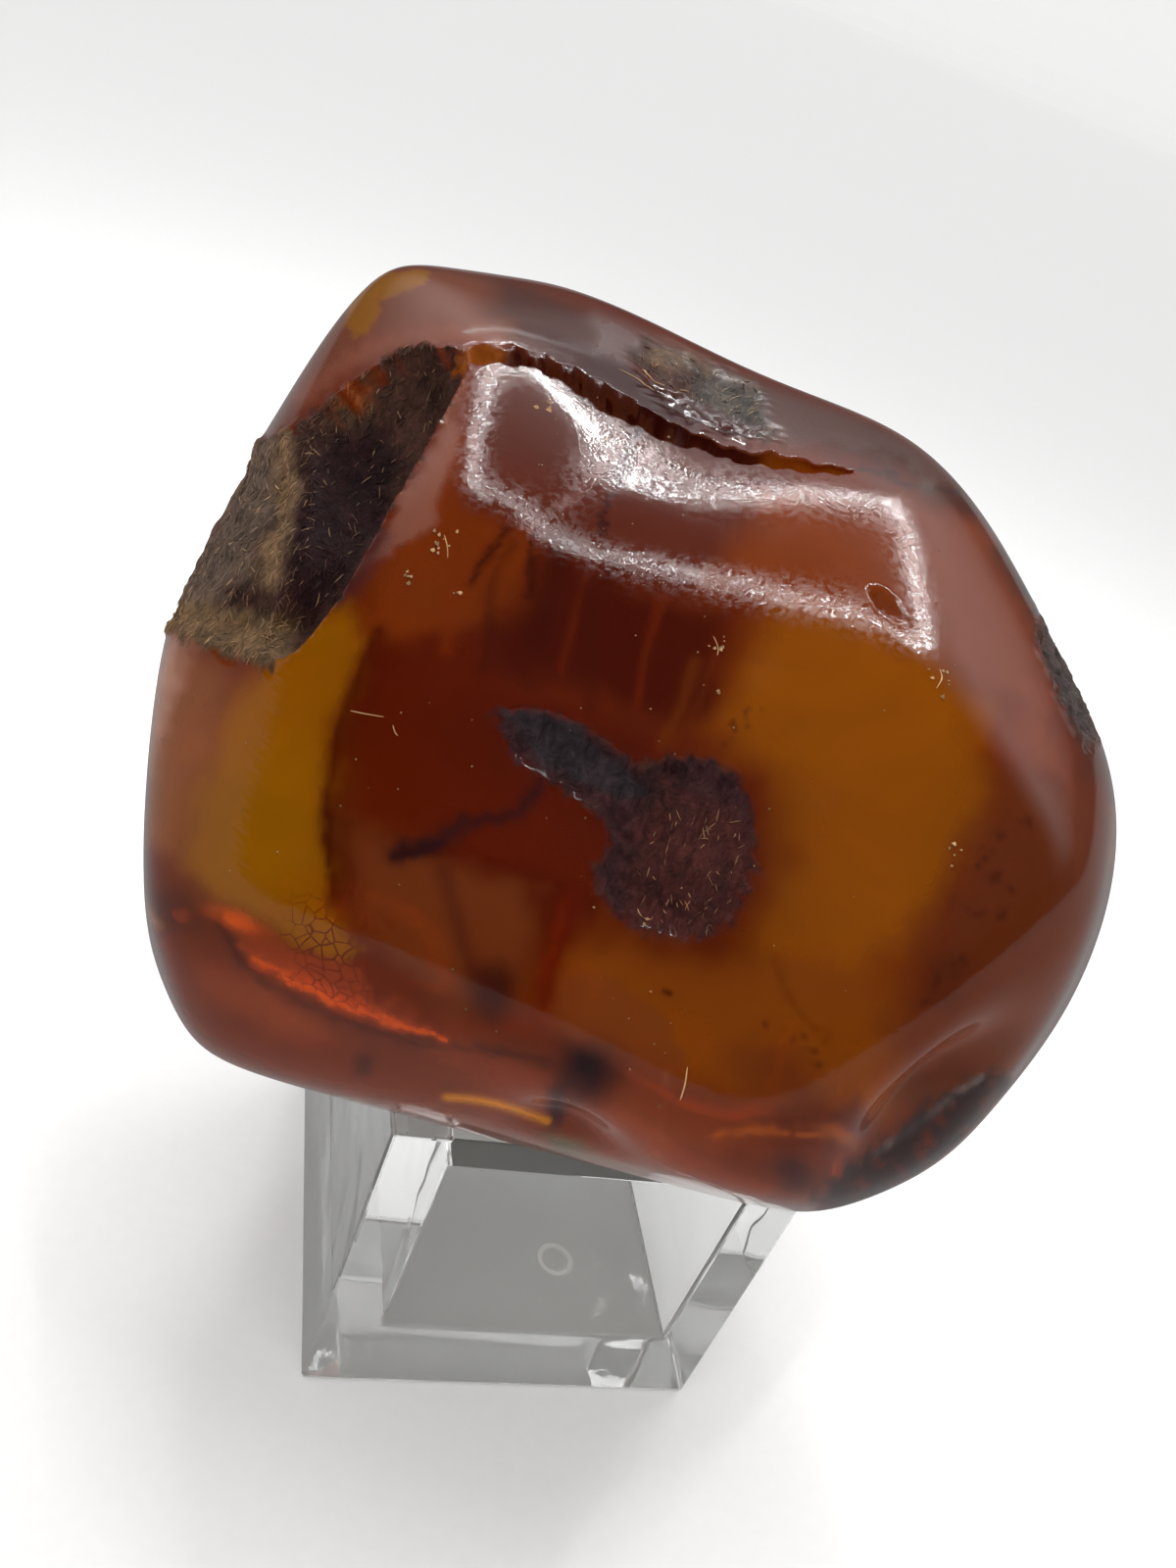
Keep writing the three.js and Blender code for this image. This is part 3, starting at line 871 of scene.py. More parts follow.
VEINS = (
    Vein("arc", srgb(60, 14, 4), 0.5, (
        (-19, 1), (-19.1, -5), (-18.6, -8.5), (-17.9, -11.5), (-16.4, -14.8), (-14.8, -17.6),
    ), 0.8),
    Vein("arc shadow", srgb(72, 16, 3), 1.5, (
        (-18.3, -1), (-18.3, -6), (-17.6, -10), (-16, -13.6), (-14.6, -16.5),
    ), 0.55),
    Vein("dark thread", srgb(44, 16, 18), 0.6, (
        (-4.6, -5), (-5.4, -7.4), (-7.6, -8.8), (-8.8, -9.6), (-9.8, -11.4), (-12, -13.3),
    ), 1.0),
    Vein("dark thread knob", srgb(46, 20, 22), 0.9, ((-8.6, -9.8), (-9.8, -11.4), (-12.2, -13.2)), 0.7),
    Vein("purple thread", srgb(74, 26, 20), 0.8, (
        (-8.5, -13), (-6.5, -15.6), (-4.8, -17.8), (-3, -19),
    ), 0.5),
    Vein("red vein", srgb(96, 20, 4), 0.7, ((0.4, -11), (1, -14), (0.9, -16), (1.4, -18.6)), 0.85),
    Vein("red vein glow", srgb(120, 30, 4), 0.35, ((0.2, -12), (0.5, -15), (0.7, -17)), 0.6),
    Vein("wisp one", srgb(50, 10, 3), 0.5, ((-12.6, 10), (-13, 7), (-12, 4), (-11.2, 1)), 0.45),
    Vein("wisp two", srgb(48, 8, 3), 1.3, ((-9.4, 11), (-9.2, 8), (-8.6, 4.5)), 0.6),
    Vein("wisp three", srgb(56, 10, 3), 0.7, ((-5.6, 11), (-5.4, 7), (-4, 3.5), (-3.4, 1.5)), 0.5),
    Vein("wisp four", srgb(112, 50, 6), 0.6, ((2.2, 7), (2.5, 3.5), (2.2, 1)), 0.5),
    Vein("wisp five", srgb(104, 44, 8), 0.35, ((3.4, 8), (3.5, 4), (3, 1)), 0.4),
    Vein("wisp six", srgb(126, 44, 4), 0.6, ((-14.5, 9), (-15.2, 5), (-14.2, 1.5)), 0.5),
    Vein("side crack", srgb(46, 24, 24), 0.22, (
        (-7.4, 20.6), (-7.7, 18.6), (-7.3, 16.4), (-7.6, 14), (-6.2, 11.4),
    ), 0.9, None, 0.4),
    Vein("crack tail", srgb(60, 30, 26), 0.2, (
        (7, 23.9), (9.5, 24.2), (12.5, 24.3), (15, 25), (17.6, 24.4),
    ), 0.9, None, 0.3),
    Vein("shoulder crack", srgb(38, 26, 26), 0.3, (
        (17.5, 24.4), (20.4, 22), (23, 19.4), (25.5, 17), (28, 14.2),
    ), 0.85, None, 0.7),
    Vein("crack fine a", srgb(56, 22, 14), 0.16, (
        (28.6, 5.4), (27, 4.6), (26, 3), (25.4, 1.2),
    ), 0.7, None, 0.8),
    Vein("crack fine b", srgb(56, 22, 14), 0.16, ((25.2, 1.6), (27, 0.7), (28.8, 1)), 0.6, None, 0.8),
    Vein("crack fine c", srgb(60, 26, 18), 0.16, (
        (24.8, -1.6), (27, -1.8), (28.6, -0.8),
    ), 0.6, None, 0.8),
    Vein("crack fine d", srgb(60, 26, 18), 0.16, (
        (27.6, -5), (26, -6.2), (26.6, -7.6), (25.8, -9),
    ), 0.6, None, 0.8),
    Vein("crack fine e", srgb(60, 24, 14), 0.16, (
        (14.8, -15.2), (17, -14.2), (19.4, -15), (22, -14.6),
    ), 0.6, None, 0.8),
    Vein("crack fine f", srgb(60, 24, 14), 0.18, ((7.2, 5.4), (6.6, 3.8), (6.2, 2.4)), 0.6, None, 0.8),
    # Painted glint: a bright orange crescent on the lower edge.
    Vein("low glint", srgb(214, 128, 16), 0.34, (
        (-2.4, -27.5), (-0.5, -26.9), (2, -26.5), (4.6, -26.4),
    ), 0.95, 0.5, 0.0),
    # Painted glint on the lower right edge.
    Vein("right glint", srgb(196, 92, 26), 0.3, (
        (15.8, -23), (18, -21.7), (20.5, -20.8), (23, -20),
    ), 0.8, 0.4, 0.3),
    # Painted highlight along the streak's edge.
    Vein("streak edge highlight", srgb(222, 84, 18), 0.22, (
        (-19.6, -23.2), (-15, -24.1), (-10, -24.2), (-4, -23.8),
    ), 0.8, 0.3, 0.25),
    # Painted highlight: orange rim light on the right tip.
    Vein("tip glow", srgb(206, 124, 62), 0.6, ((33.6, 8.6), (34.3, 7), (35, 4.8)), 0.9, 0.3, 0.1),
    Vein("rim shadow", srgb(62, 34, 38), 0.9, ((-21.4, 7), (-21.6, 4.5), (-22.4, 2)), 0.7, None, 0.2),
    # Painted highlight: a pale grey line along the heel's ridge.
    Vein("heel ridge highlight", srgb(150, 142, 138), 0.3, (
        (26.8, -19.8), (28.4, -17.4), (30.0, -14.6), (31.6, -12.2),
    ), 0.6, 0.0, 0.1),
    Vein("low seam", srgb(60, 26, 18), 0.4, (
        (-22, -21.9), (-18, -24.6), (-12, -25.2), (-6, -24.7), (-1, -23.4), (3, -22.6),
    ), 0.6),
    Vein("wisp seven", srgb(40, 8, 4), 0.35, ((-13.3, 11), (-14, 8.4), (-14.3, 6.2)), 0.8),
    Vein("wisp eight", srgb(40, 8, 4), 0.3, ((-11.6, 11), (-10.8, 8.8), (-10.1, 7)), 0.8),
    Vein("wisp nine", srgb(108, 34, 4), 0.4, ((-1.6, 10.4), (-1.2, 6.4), (-0.4, 3)), 0.6),
    Vein("wisp ten", srgb(104, 30, 4), 0.3, ((-7.2, 10), (-6.6, 6), (-6.2, 3)), 0.55),
    Vein("honey thread", srgb(104, 44, 4), 0.3, ((15, -9.6), (17.5, -12.4), (20.5, -13.6)), 0.5),
    # Painted highlights: pale streaks where the light catches fine polishing scratches on the upper facet.
    Vein("brushed highlight one", srgb(172, 142, 140), 0.15, ((-6.8, 21.6), (-6.1, 19.8), (-6.5, 18.2)), 0.8),
    Vein("brushed highlight two", srgb(160, 130, 128), 0.12, ((-5.7, 21.4), (-5.1, 19.6), (-5.3, 18)), 0.8),
    Vein("brushed highlight three", srgb(150, 120, 118), 0.12, ((-4.6, 21), (-4.1, 19.4), (-4.3, 18)), 0.7),
    Vein("brushed highlight four", srgb(140, 104, 98), 0.12, ((-11.6, 20.4), (-10.4, 18.4), (-10.2, 16.6)), 0.7),
    # Painted highlight: a pale diagonal line on the upper facet.
    Vein("facet highlight", srgb(138, 100, 94), 0.4, (
        (-8, 19.5), (-8.9, 17.5), (-9.9, 14.8), (-10.5, 13.7),
    ), 0.55),
    # Painted highlight along the hollow's upper rim.
    Vein("upper rim highlight", srgb(150, 84, 64), 0.9, (
        (-20.5, 22.3), (-22.4, 21.8), (-24.7, 20.6), (-26.6, 19.1), (-28.5, 16.8), (-30.1, 14.1),
    ), 0.5),
    # Painted highlights on the crack's lips.
    Vein("upper lip highlight", srgb(176, 160, 160), 0.16, UPPER_LIP_HIGHLIGHT, 0.7, None, 0.1),
    Vein("lower lip highlight", srgb(186, 170, 168), 0.14, LOWER_LIP_HIGHLIGHT, 0.7, None, 0.1),
    # Painted highlight: a small curved glint at the lower left.
    Vein("left fleck highlight", srgb(150, 92, 44), 0.35, ((-26.9, -23.2), (-25.6, -23.9)), 0.9, 0.2, 0.1),
    Vein("pale scratch", srgb(156, 84, 52), 0.14, ((11.2, -20), (12, -23), (13, -26)), 0.5, None, 0.1),
)
CRUST_TINTS = (
    Zone("crust brown", srgb(70, 42, 32), 3.0, ((-36, 24), (-18, 24), (-18, -8), (-36, -8))),
    Zone("crust deep", srgb(40, 16, 18), 1.6, (
        (-27.5, 12.5), (-24, 14), (-21.5, 12), (-22, 5), (-23.6, 0), (-25.8, 0.5), (-27.3, 3), (-27.6, 8),
    )),
    Zone("left lobe", srgb(104, 84, 70), 1.6, (
        (-33, 10), (-30.4, 10), (-29, 7), (-29, 1), (-31, -3), (-34.5, -2), (-34.5, 6),
    )),
    Zone("tan rib", srgb(132, 102, 72), 1.2, (
        (-31.2, 12), (-29.6, 11.2), (-28, 8), (-27, 4), (-27.3, 1), (-28.6, 1.2), (-28.6, 4.5), (-29.6, 8),
    ), 0.85),
    Zone("tan foot", srgb(126, 98, 66), 1.4, (
        (-33.5, -2.5), (-29, -1.6), (-24.2, -0.8), (-24, -3.6), (-27, -4.6), (-33.5, -5.4),
    ), 0.8),
    Zone("tan head", srgb(96, 68, 44), 1.6, ((-28.5, 15.5), (-26, 17.5), (-24.6, 15), (-28, 12.6)), 0.6),
    Zone("crust window", srgb(150, 70, 10), 0.6, (
        (-27.8, 14.4), (-27, 16.2), (-25.6, 16), (-26.2, 14.6),
    ), 0.85),
    Zone("patch", srgb(62, 30, 32), 0.8, PATCH_OUTLINE),
    Zone("patch lower right", srgb(74, 32, 27), 2.4, (
        (3, -1), (10, -2), (12.5, -6), (10.5, -11), (5, -12), (3, -8),
    )),
    Zone("patch strokes", srgb(48, 42, 46), 1.0, (
        (-10, -1.2), (-5, 0.4), (0, -1.2), (3, -2.6), (0.5, -4), (-5, -3.4),
    ), 0.8),
    Zone("rough top", srgb(116, 92, 68), 1.6, ((-9, 25.2), (-8, 27.6), (-4.6, 27.8), (-4.4, 25.6)), 0.9),
    Zone("rough top grey", srgb(82, 74, 68), 2.0, (
        (-4, 27.5), (3, 26), (5, 23.8), (0, 22.6), (-5, 23.4),
    )),
    Zone("rough shoulder", srgb(74, 62, 60), 1.0, ROUGH_SHOULDER_OUTLINE),
    Zone("heel", srgb(40, 33, 34), 1.0, HEEL_OUTLINE),
)
LOOP = (
    (-18.6, 21.3), (-18.3, 17.0), (-17.4, 14.2), (-15.8, 12.7), (-12.8, 12.9), (-10.0, 11.7), (-5.0, 11.2),
    (2.0, 12.7), (6.0, 13.8), (10.0, 14.9), (15.0, 14.7), (16.0, 15.5), (15.0, 17.3), (12.2, 20.6),
    (11.0, 21.7),
    (5.0, 20.6), (-2.0, 18.5), (-5.0, 18.6), (-7.6, 20.0), (-11.5, 21.5), (-15.0, 22.6),
)
LOOP_BRANCH = ((-8.3, 19.6), (-9.4, 16.4), (-10.8, 13.2))


@dataclass(frozen=True)
class Nugget:
    """The amber nugget, one solid piece."""

    middle: tuple[float, float, float] = (-4.0, 1.6, 51.0)
    sharpness: float = 36.0
    parts: int = 92
    crowding: float = 0.32
    polish_height: float = 0.16
    polish_waves: tuple[tuple[float, float, float, float], ...] = (
        (5.1, 3.3, 2.7, 0.4), (-3.9, 5.7, 4.1, 1.9), (4.3, -2.9, 6.1, 3.1),
    )
    show: Show = Show()
    deep: DeepHollow = DeepHollow()
    crack_depth: float = 6.0
    crack_end_depth: float = 2.0
    crack_lift: float = 2.5
    crack_jag: float = 0.16
    crack_least: float = 0.12
    coarse_relief: float = 0.26
    fine_relief: float = 0.16
    crack_ends: Point = (-17.6, 0.6)
    crack_ends_soft: float = 1.6
    crack_clear: float = 0.15
    crack_ends_clear: float = 0.45
    clear_share: float = 0.16
    spot_wander: float = 0.35
    crust_wander: float = 0.5
    heel_cover: float = 0.9
    heel_broken: float = 0.5
    heel_scuff: float = 0.4
    slab_scuff: float = 0.6
    loop_spread: float = 1.7
    # How far, and where, the reflection is weakened as painted shade for dark mirrored surroundings.
    reflection_dim_share: float = 0.55
    reflection_dim_below: float = 0.12
    reflection_dim_soft: float = 0.3
    reflection_dim_from: float = -30.0
    reflection_dim_full: float = -22.0
    # Light levels of the fill and the key light that the painted colours are divided by: painted shade.
    fill_level: float = 0.66
    key_level: float = 0.8

    def facet_radius(self, directions: np.ndarray) -> np.ndarray:
        """The faceted body's radius along directions, with its edges rounded.

        Args:
            directions: unit rows.

        Returns:
            One radius for each row.
        """
        total = np.zeros(len(directions))
        for facet in FACETS:
            toward = directions @ facing(facet.bearing, facet.climb)
            total += (np.maximum(toward, 0.0) / facet.reach) ** self.sharpness
        return total ** (-1.0 / self.sharpness)

    def hollow_depth(self, directions: np.ndarray, radius: np.ndarray) -> np.ndarray:
        """How far the surface lies below the faceted body.

        Args:
            directions: an array of unit rows.
            radius: the faceted body's radius along each.

        Returns:
            One depth for each row.
        """
        seen = self.show.seen(directions)
        places = self.show.place(directions * radius[:, None])
        depth = np.zeros(len(directions))
        for hollow in HOLLOWS:
            depth += seen * hollow.depth * smooth(inside_outline(places, hollow.outline) / hollow.slope)
        for dent in WORN:
            off = 1.0 - directions @ facing(dent.bearing, dent.climb)
            depth += dent.depth * np.exp(-off / dent.spread**2)
        for x, y, z, phase in self.polish_waves:
            wave = np.sin(directions @ np.array([x, y, z]) + phase)
            depth += self.polish_height * (1.0 + wave) * (1.0 - smooth(-2.0 * directions[:, 2] - 0.6))
        return depth

    def on_show(self, places: np.ndarray) -> np.ndarray:
        """The points of the faceted body that show at places in the viewer's picture.

        Args:
            places: an array of [right, up] rows.

        Returns:
            Rows of three millimetre values from the nugget's middle.
        """
        rays = self.show.rays(places)
        viewer = np.array(self.show.viewer)
        near, far = np.full(len(places), 0.5), np.full(len(places), 1.0)
        for _ in range(30):
            half = (near + far) / 2.0
            points = viewer + rays * half[:, None]
            length = np.linalg.norm(points, axis=1)
            inside = length < self.facet_radius(points / length[:, None])
            far = np.where(inside, half, far)
            near = np.where(inside, near, half)
        return viewer + rays * far[:, None]

    def crust_relief(self, points: np.ndarray) -> np.ndarray:
        """The height of the matte crust's rough relief at rows of three millimetre values."""
        coarse, fine = Waves(3.4, 3, 11).at(points), Waves(1.1, 3, 12).at(points)
        return self.coarse_relief * coarse + self.fine_relief * fine

    def scoop(self) -> bpy.types.Object:
        """The rough-walled solid that opens the deep hollow."""
        outline = catmull(np.array(self.deep.outline), 8, True)
        middle = np.array(self.deep.middle)
        outward = unit(self.on_show(middle[None])[0])
        levels = catmull(np.array([(r.scale, r.sink) for r in self.deep.rings]), 7, False)
        rings = []
        for scale, sink in levels:
            ring = self.on_show(middle + scale * (outline - middle)) - outward * sink
            rough = self.crust_relief(ring) * smooth(np.array([(sink - 0.2) / 1.2]))
            rings.append(ring + outward * rough[:, None])
        top = self.on_show(middle[None])[0] - outward * levels[0][1]
        bed = self.on_show(middle[None])[0] - outward * levels[-1][1]
        points = np.concatenate([*rings, [top, bed]]) + np.array(self.middle)
        count, last = len(outline), len(outline) * (len(rings) - 1)
        faces = []
        for i in range(count):
            after = (i + 1) % count
            faces.append((last + count, i, after))
            faces.append((last + count + 1, last + after, last + i))
            for low in range(0, last, count):
                faces.append((low + i, low + i + count, low + after + count, low + after))
        return make_object("scoop", points, faces)

    def wedge(self) -> bpy.types.Object:
        """The jagged solid that opens the crack."""
        rows = catmull(np.array([(lip.right, lip.upper, lip.lower) for lip in CRACK_LIPS]), 7, False)
        jag = Waves(2.2, 4, 21)
        rows[:, 1] += self.crack_jag * jag.at(rows[:, :1])
        rows[:, 2] += self.crack_jag * jag.at(rows[:, :1] + 40.0)
        rows[:, 2] = np.minimum(rows[:, 2], rows[:, 1] - self.crack_least)
        upper = self.on_show(rows[:, [0, 1]])
        lower = self.on_show(rows[:, [0, 2]])
        outward = upper + lower
        outward /= np.linalg.norm(outward, axis=1, keepdims=True)
        run = np.sin(math.pi * np.arange(len(rows)) / (len(rows) - 1))
        depth = self.crack_end_depth + (self.crack_depth - self.crack_end_depth) * run
        levels = []
        shares = (-0.5, 0.0, 0.15, 0.35, 0.6, 0.8, 1.0)
        for k, share in enumerate(shares):
            gap = max(1.0 - 0.9 * share, 0.1) if share > 0 else 1.0
            sink = depth * share if share > 0 else np.full(len(rows), -self.crack_lift * (share < 0))
            centre = (upper + lower) / 2.0 - outward * sink[:, None]
            half = (upper - lower) / 2.0 * gap
            wander = 0.25 * Waves(2.6, 3, 30 + k).at(rows[:, :1]) * (share > 0.1)
            shift = half / np.linalg.norm(half, axis=1, keepdims=True) * wander[:, None]
            levels.append((centre + half + shift, centre - half + shift))
        loop = [u for u, _ in levels] + [low for _, low in reversed(levels)]
        points = np.concatenate(loop) + np.array(self.middle)
        count, around = len(rows), len(loop)
        starts = [k * count for k in range(around)]
        faces = [starts, [start + count - 1 for start in reversed(starts)]]
        for k in range(around):
            here, there = k * count, ((k + 1) % around) * count
            for i in range(count - 1):
                faces.append((here + i, here + i + 1, there + i + 1, there + i))
        return make_object("wedge", points, faces)

    def skin(self, directions: np.ndarray) -> np.ndarray:
        """The points of the surface along directions, before the hollow and the crack are opened.

        Args:
            directions: an array of unit rows.

        Returns:
            Rows of three millimetre values from the nugget's middle.
        """
        radius = self.facet_radius(directions)
        outer = directions * radius[:, None]
        depth = self.hollow_depth(directions, radius) - self.crust_at(outer) * self.crust_relief(outer)
        return directions * (radius - depth)[:, None]

    def surface(self) -> bpy.types.Object:
        """The whole surface, with the hollow and the crack open."""
        directions, triangles = geodesic(self.parts)
        toward = unit(self.show.viewer)
        directions = directions + self.crowding * toward
        directions /= np.linalg.norm(directions, axis=1, keepdims=True)
        obj = make_object("nugget_amber", self.skin(directions) + np.array(self.middle), triangles)
        for cutter in (self.scoop(), self.wedge()):
            recalculate(cutter)
            cut_away(obj, cutter)
        return obj

    def crust_at(self, points: np.ndarray) -> np.ndarray:
        """How far the matte crust covers points measured from the nugget's middle.

        Args:
            points: rows of three millimetre values.

        Returns:
            Values from 0 to 1.
        """
        directions = points / np.linalg.norm(points, axis=1, keepdims=True)
        places = self.show.place(directions * self.facet_radius(directions)[:, None])
        ragged = places + 0.35 * shifts(places, 1.4, 3, 43)
        cover = np.zeros(len(points))
        for outline, soft in CRUSTED:
            cover = np.maximum(cover, smooth((inside_outline(ragged, outline) + soft * 0.4) / soft))
        return cover * self.show.seen(directions)

    def crack_at(self, places: np.ndarray, sunk: np.ndarray, seen: np.ndarray) -> np.ndarray:
        """How far points lie on the walls of the open crack.

        Args:
            places: where they show, as [right, up] rows.
            sunk: how far each is below the faceted body.
            seen: how much the show side's marks count at each.

        Returns:
            Values from 0 to 1.
        """
        upper = [(lip.right, lip.upper) for lip in CRACK_LIPS]
        lower = [(lip.right, lip.lower) for lip in reversed(CRACK_LIPS)]
        crack = smooth((inside_outline(places, upper + lower) + 1.6) / 1.2) * smooth((sunk - 0.4) / 0.5)
        return crack * (places[:, 0] > -21.0) * (seen > 0.5)

    def paint(self, obj: bpy.types.Object) -> None:
        """Keeps the colours and the masks on an object's points.

        Args:
            obj: the nugget's object.
        """
        points = vectors_of(obj, "co") / MM - np.array(self.middle)
        length = np.linalg.norm(points, axis=1)
        directions = points / length[:, None]
        radius = self.facet_radius(directions)
        seen, places = self.show.seen(directions), self.show.place(points)
        warp, jitter = shifts(places, 6.0, 4, 41), shifts(places, 1.5, 3, 45)
        tint = np.tile(np.array(BODY), (len(points), 1))
        clear = np.full(len(points), self.clear_share)
        drift = Waves(30.0, 3, 51).at(directions * radius[:, None])
        for colour, amount in ((FAR_HONEY, smooth(drift - 0.1)), (FAR_EMBER, smooth(-drift - 0.1))):
            lay_colour(tint, colour, (1.0 - seen) * amount)

        def lay(mark: "Zone | Vein | Spot", amount: np.ndarray) -> None:
            """Blends a mark into the colours and the clear share.

            Args:
                mark: the mark.
                amount: how far it covers each point.
            """
            share = mark.strength * amount * seen
            lay_colour(tint, mark.colour, share)
            if mark.clear is not None:
                clear[:] += share * (mark.clear - clear)

        for zone in ZONES:
            inside = inside_outline(places + zone.ragged * warp, zone.outline)
            lay(zone, smooth((inside + zone.soft * 0.5) / zone.soft))
        for spot in SPOTS:
            off = (places + self.spot_wander * warp - np.array(spot.place)) / np.array(spot.size)
            lay(spot, np.exp(-np.sum(off**2, axis=1) ** 1.5))
        for vein in VEINS:
            line = catmull(np.array(vein.line), 6, False)
            off = near_line(places + vein.wander * jitter, line) / vein.width
            lay(vein, np.exp(-(off**2) * 1.4))
        crack = self.crack_at(places, radius - length, seen)
        crust = self.crust_at(points) * (1.0 - crack)
        earth = np.tile(np.array(CRUST_TINTS[0].colour), (len(points), 1))
        for zone in CRUST_TINTS:
            inside = inside_outline(places + self.crust_wander * warp, zone.outline)
            lay_colour(earth, zone.colour, zone.strength * smooth((inside + zone.soft * 0.5) / zone.soft))
        lay_colour(tint, earth, crust)
        past_ends = np.maximum(self.crack_ends[0] - places[:, 0], places[:, 0] - self.crack_ends[1])
        ends = smooth(past_ends / self.crack_ends_soft)
        inner = np.tile(np.array(CRACK_DARK), (len(points), 1))
        lay_colour(inner, CRACK_GLOW, ends)
        lay_colour(tint, inner, crack)
        clear += crack * (self.crack_clear + self.crack_ends_clear * ends - clear)
        heel = smooth((inside_outline(places + 0.4 * jitter, HEEL_OUTLINE) + 0.5) / 1.4) * seen
        heel_cover = self.heel_cover - self.heel_broken * smooth(Waves(2.6, 3, 47).at(places))
        lay_colour(tint, CRUST_TINTS[-1].colour, heel * heel_cover)
        clear *= 1.0 - heel
        normals = vectors_of(obj, "normal")
        toward = unit(self.show.viewer)
        mirrored = 2.0 * np.abs(normals @ toward) * normals[:, 2] - toward[2]
        slab = smooth((inside_outline(places + warp, SLAB_OUTLINE) + 1.0) / 2.0) * seen
        loop = np.minimum(near_line(places, (*LOOP, LOOP[0])), 0.8 * near_line(places, LOOP_BRANCH))
        net = np.zeros(len(points))
        for patch in NETS:
            off = (places - np.array(patch.place)) / np.array(patch.size)
            net += patch.strength * np.exp(-np.sum(off**2, axis=1) ** 2)
        # Painted shade on the reflection: where the mirrored view points down at the floor, right of a line,
        # the reflection is weakened as if dark surroundings were mirrored there.
        dimmed_reflection = smooth((self.reflection_dim_below - mirrored) / self.reflection_dim_soft)
        dimmed_reflection *= smooth((places[:, 0] - self.reflection_dim_from) / (self.reflection_dim_full - self.reflection_dim_from))
        masks = {
            Mask.CRUST: crust,
            Mask.CLEAR: clear,
            Mask.SCUFFED: np.maximum(self.heel_scuff * heel, self.slab_scuff * slab),
            Mask.SPECKLED: np.exp(-((loop / self.loop_spread) ** 2)) * seen,
            Mask.NET: net * seen,
            Mask.DIMMED_REFLECTION: self.reflection_dim_share * dimmed_reflection,
        }
        for mask, values in masks.items():
            keep_values(obj, mask.value, values)
        # Painted shade: each colour is divided by the light the point is expected to get from the fill and
        # the key light, so faces toward the key are painted darker and the others lighter.
        toward_key = np.clip(normals @ facing(*KEY_FROM), 0.0, 1.0)
        tint /= (self.fill_level + self.key_level * toward_key)[:, None]
        keep_values(obj, TINT, np.clip(tint, 0.0, 1.0))

    def build(self, finish: "AmberFinish") -> bpy.types.Object:
        """Makes the nugget and dresses it.

        Args:
            finish: the amber's finish.

        Returns:
            The nugget's object.
        """
        obj = self.surface()
        self.paint(obj)
        obj.data.materials.clear()
        obj.data.materials.append(finish.material())
        obj.data.polygons.foreach_set("use_smooth", np.ones(len(obj.data.polygons), bool))
        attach(obj, "root")
        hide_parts("nugget")
        log.info("nugget_amber has %d faces", len(obj.data.polygons))
        return obj


CRUMB_POINTS = ((1, 0, 0), (0, 1, 0), (-1, 0, 0), (0, -1, 0), (0, 0, 1), (0, 0, -1))
CRUMB_FACES = ((0, 1, 4), (1, 2, 4), (2, 3, 4), (3, 0, 4), (1, 0, 5), (2, 1, 5), (3, 2, 5), (0, 3, 5))


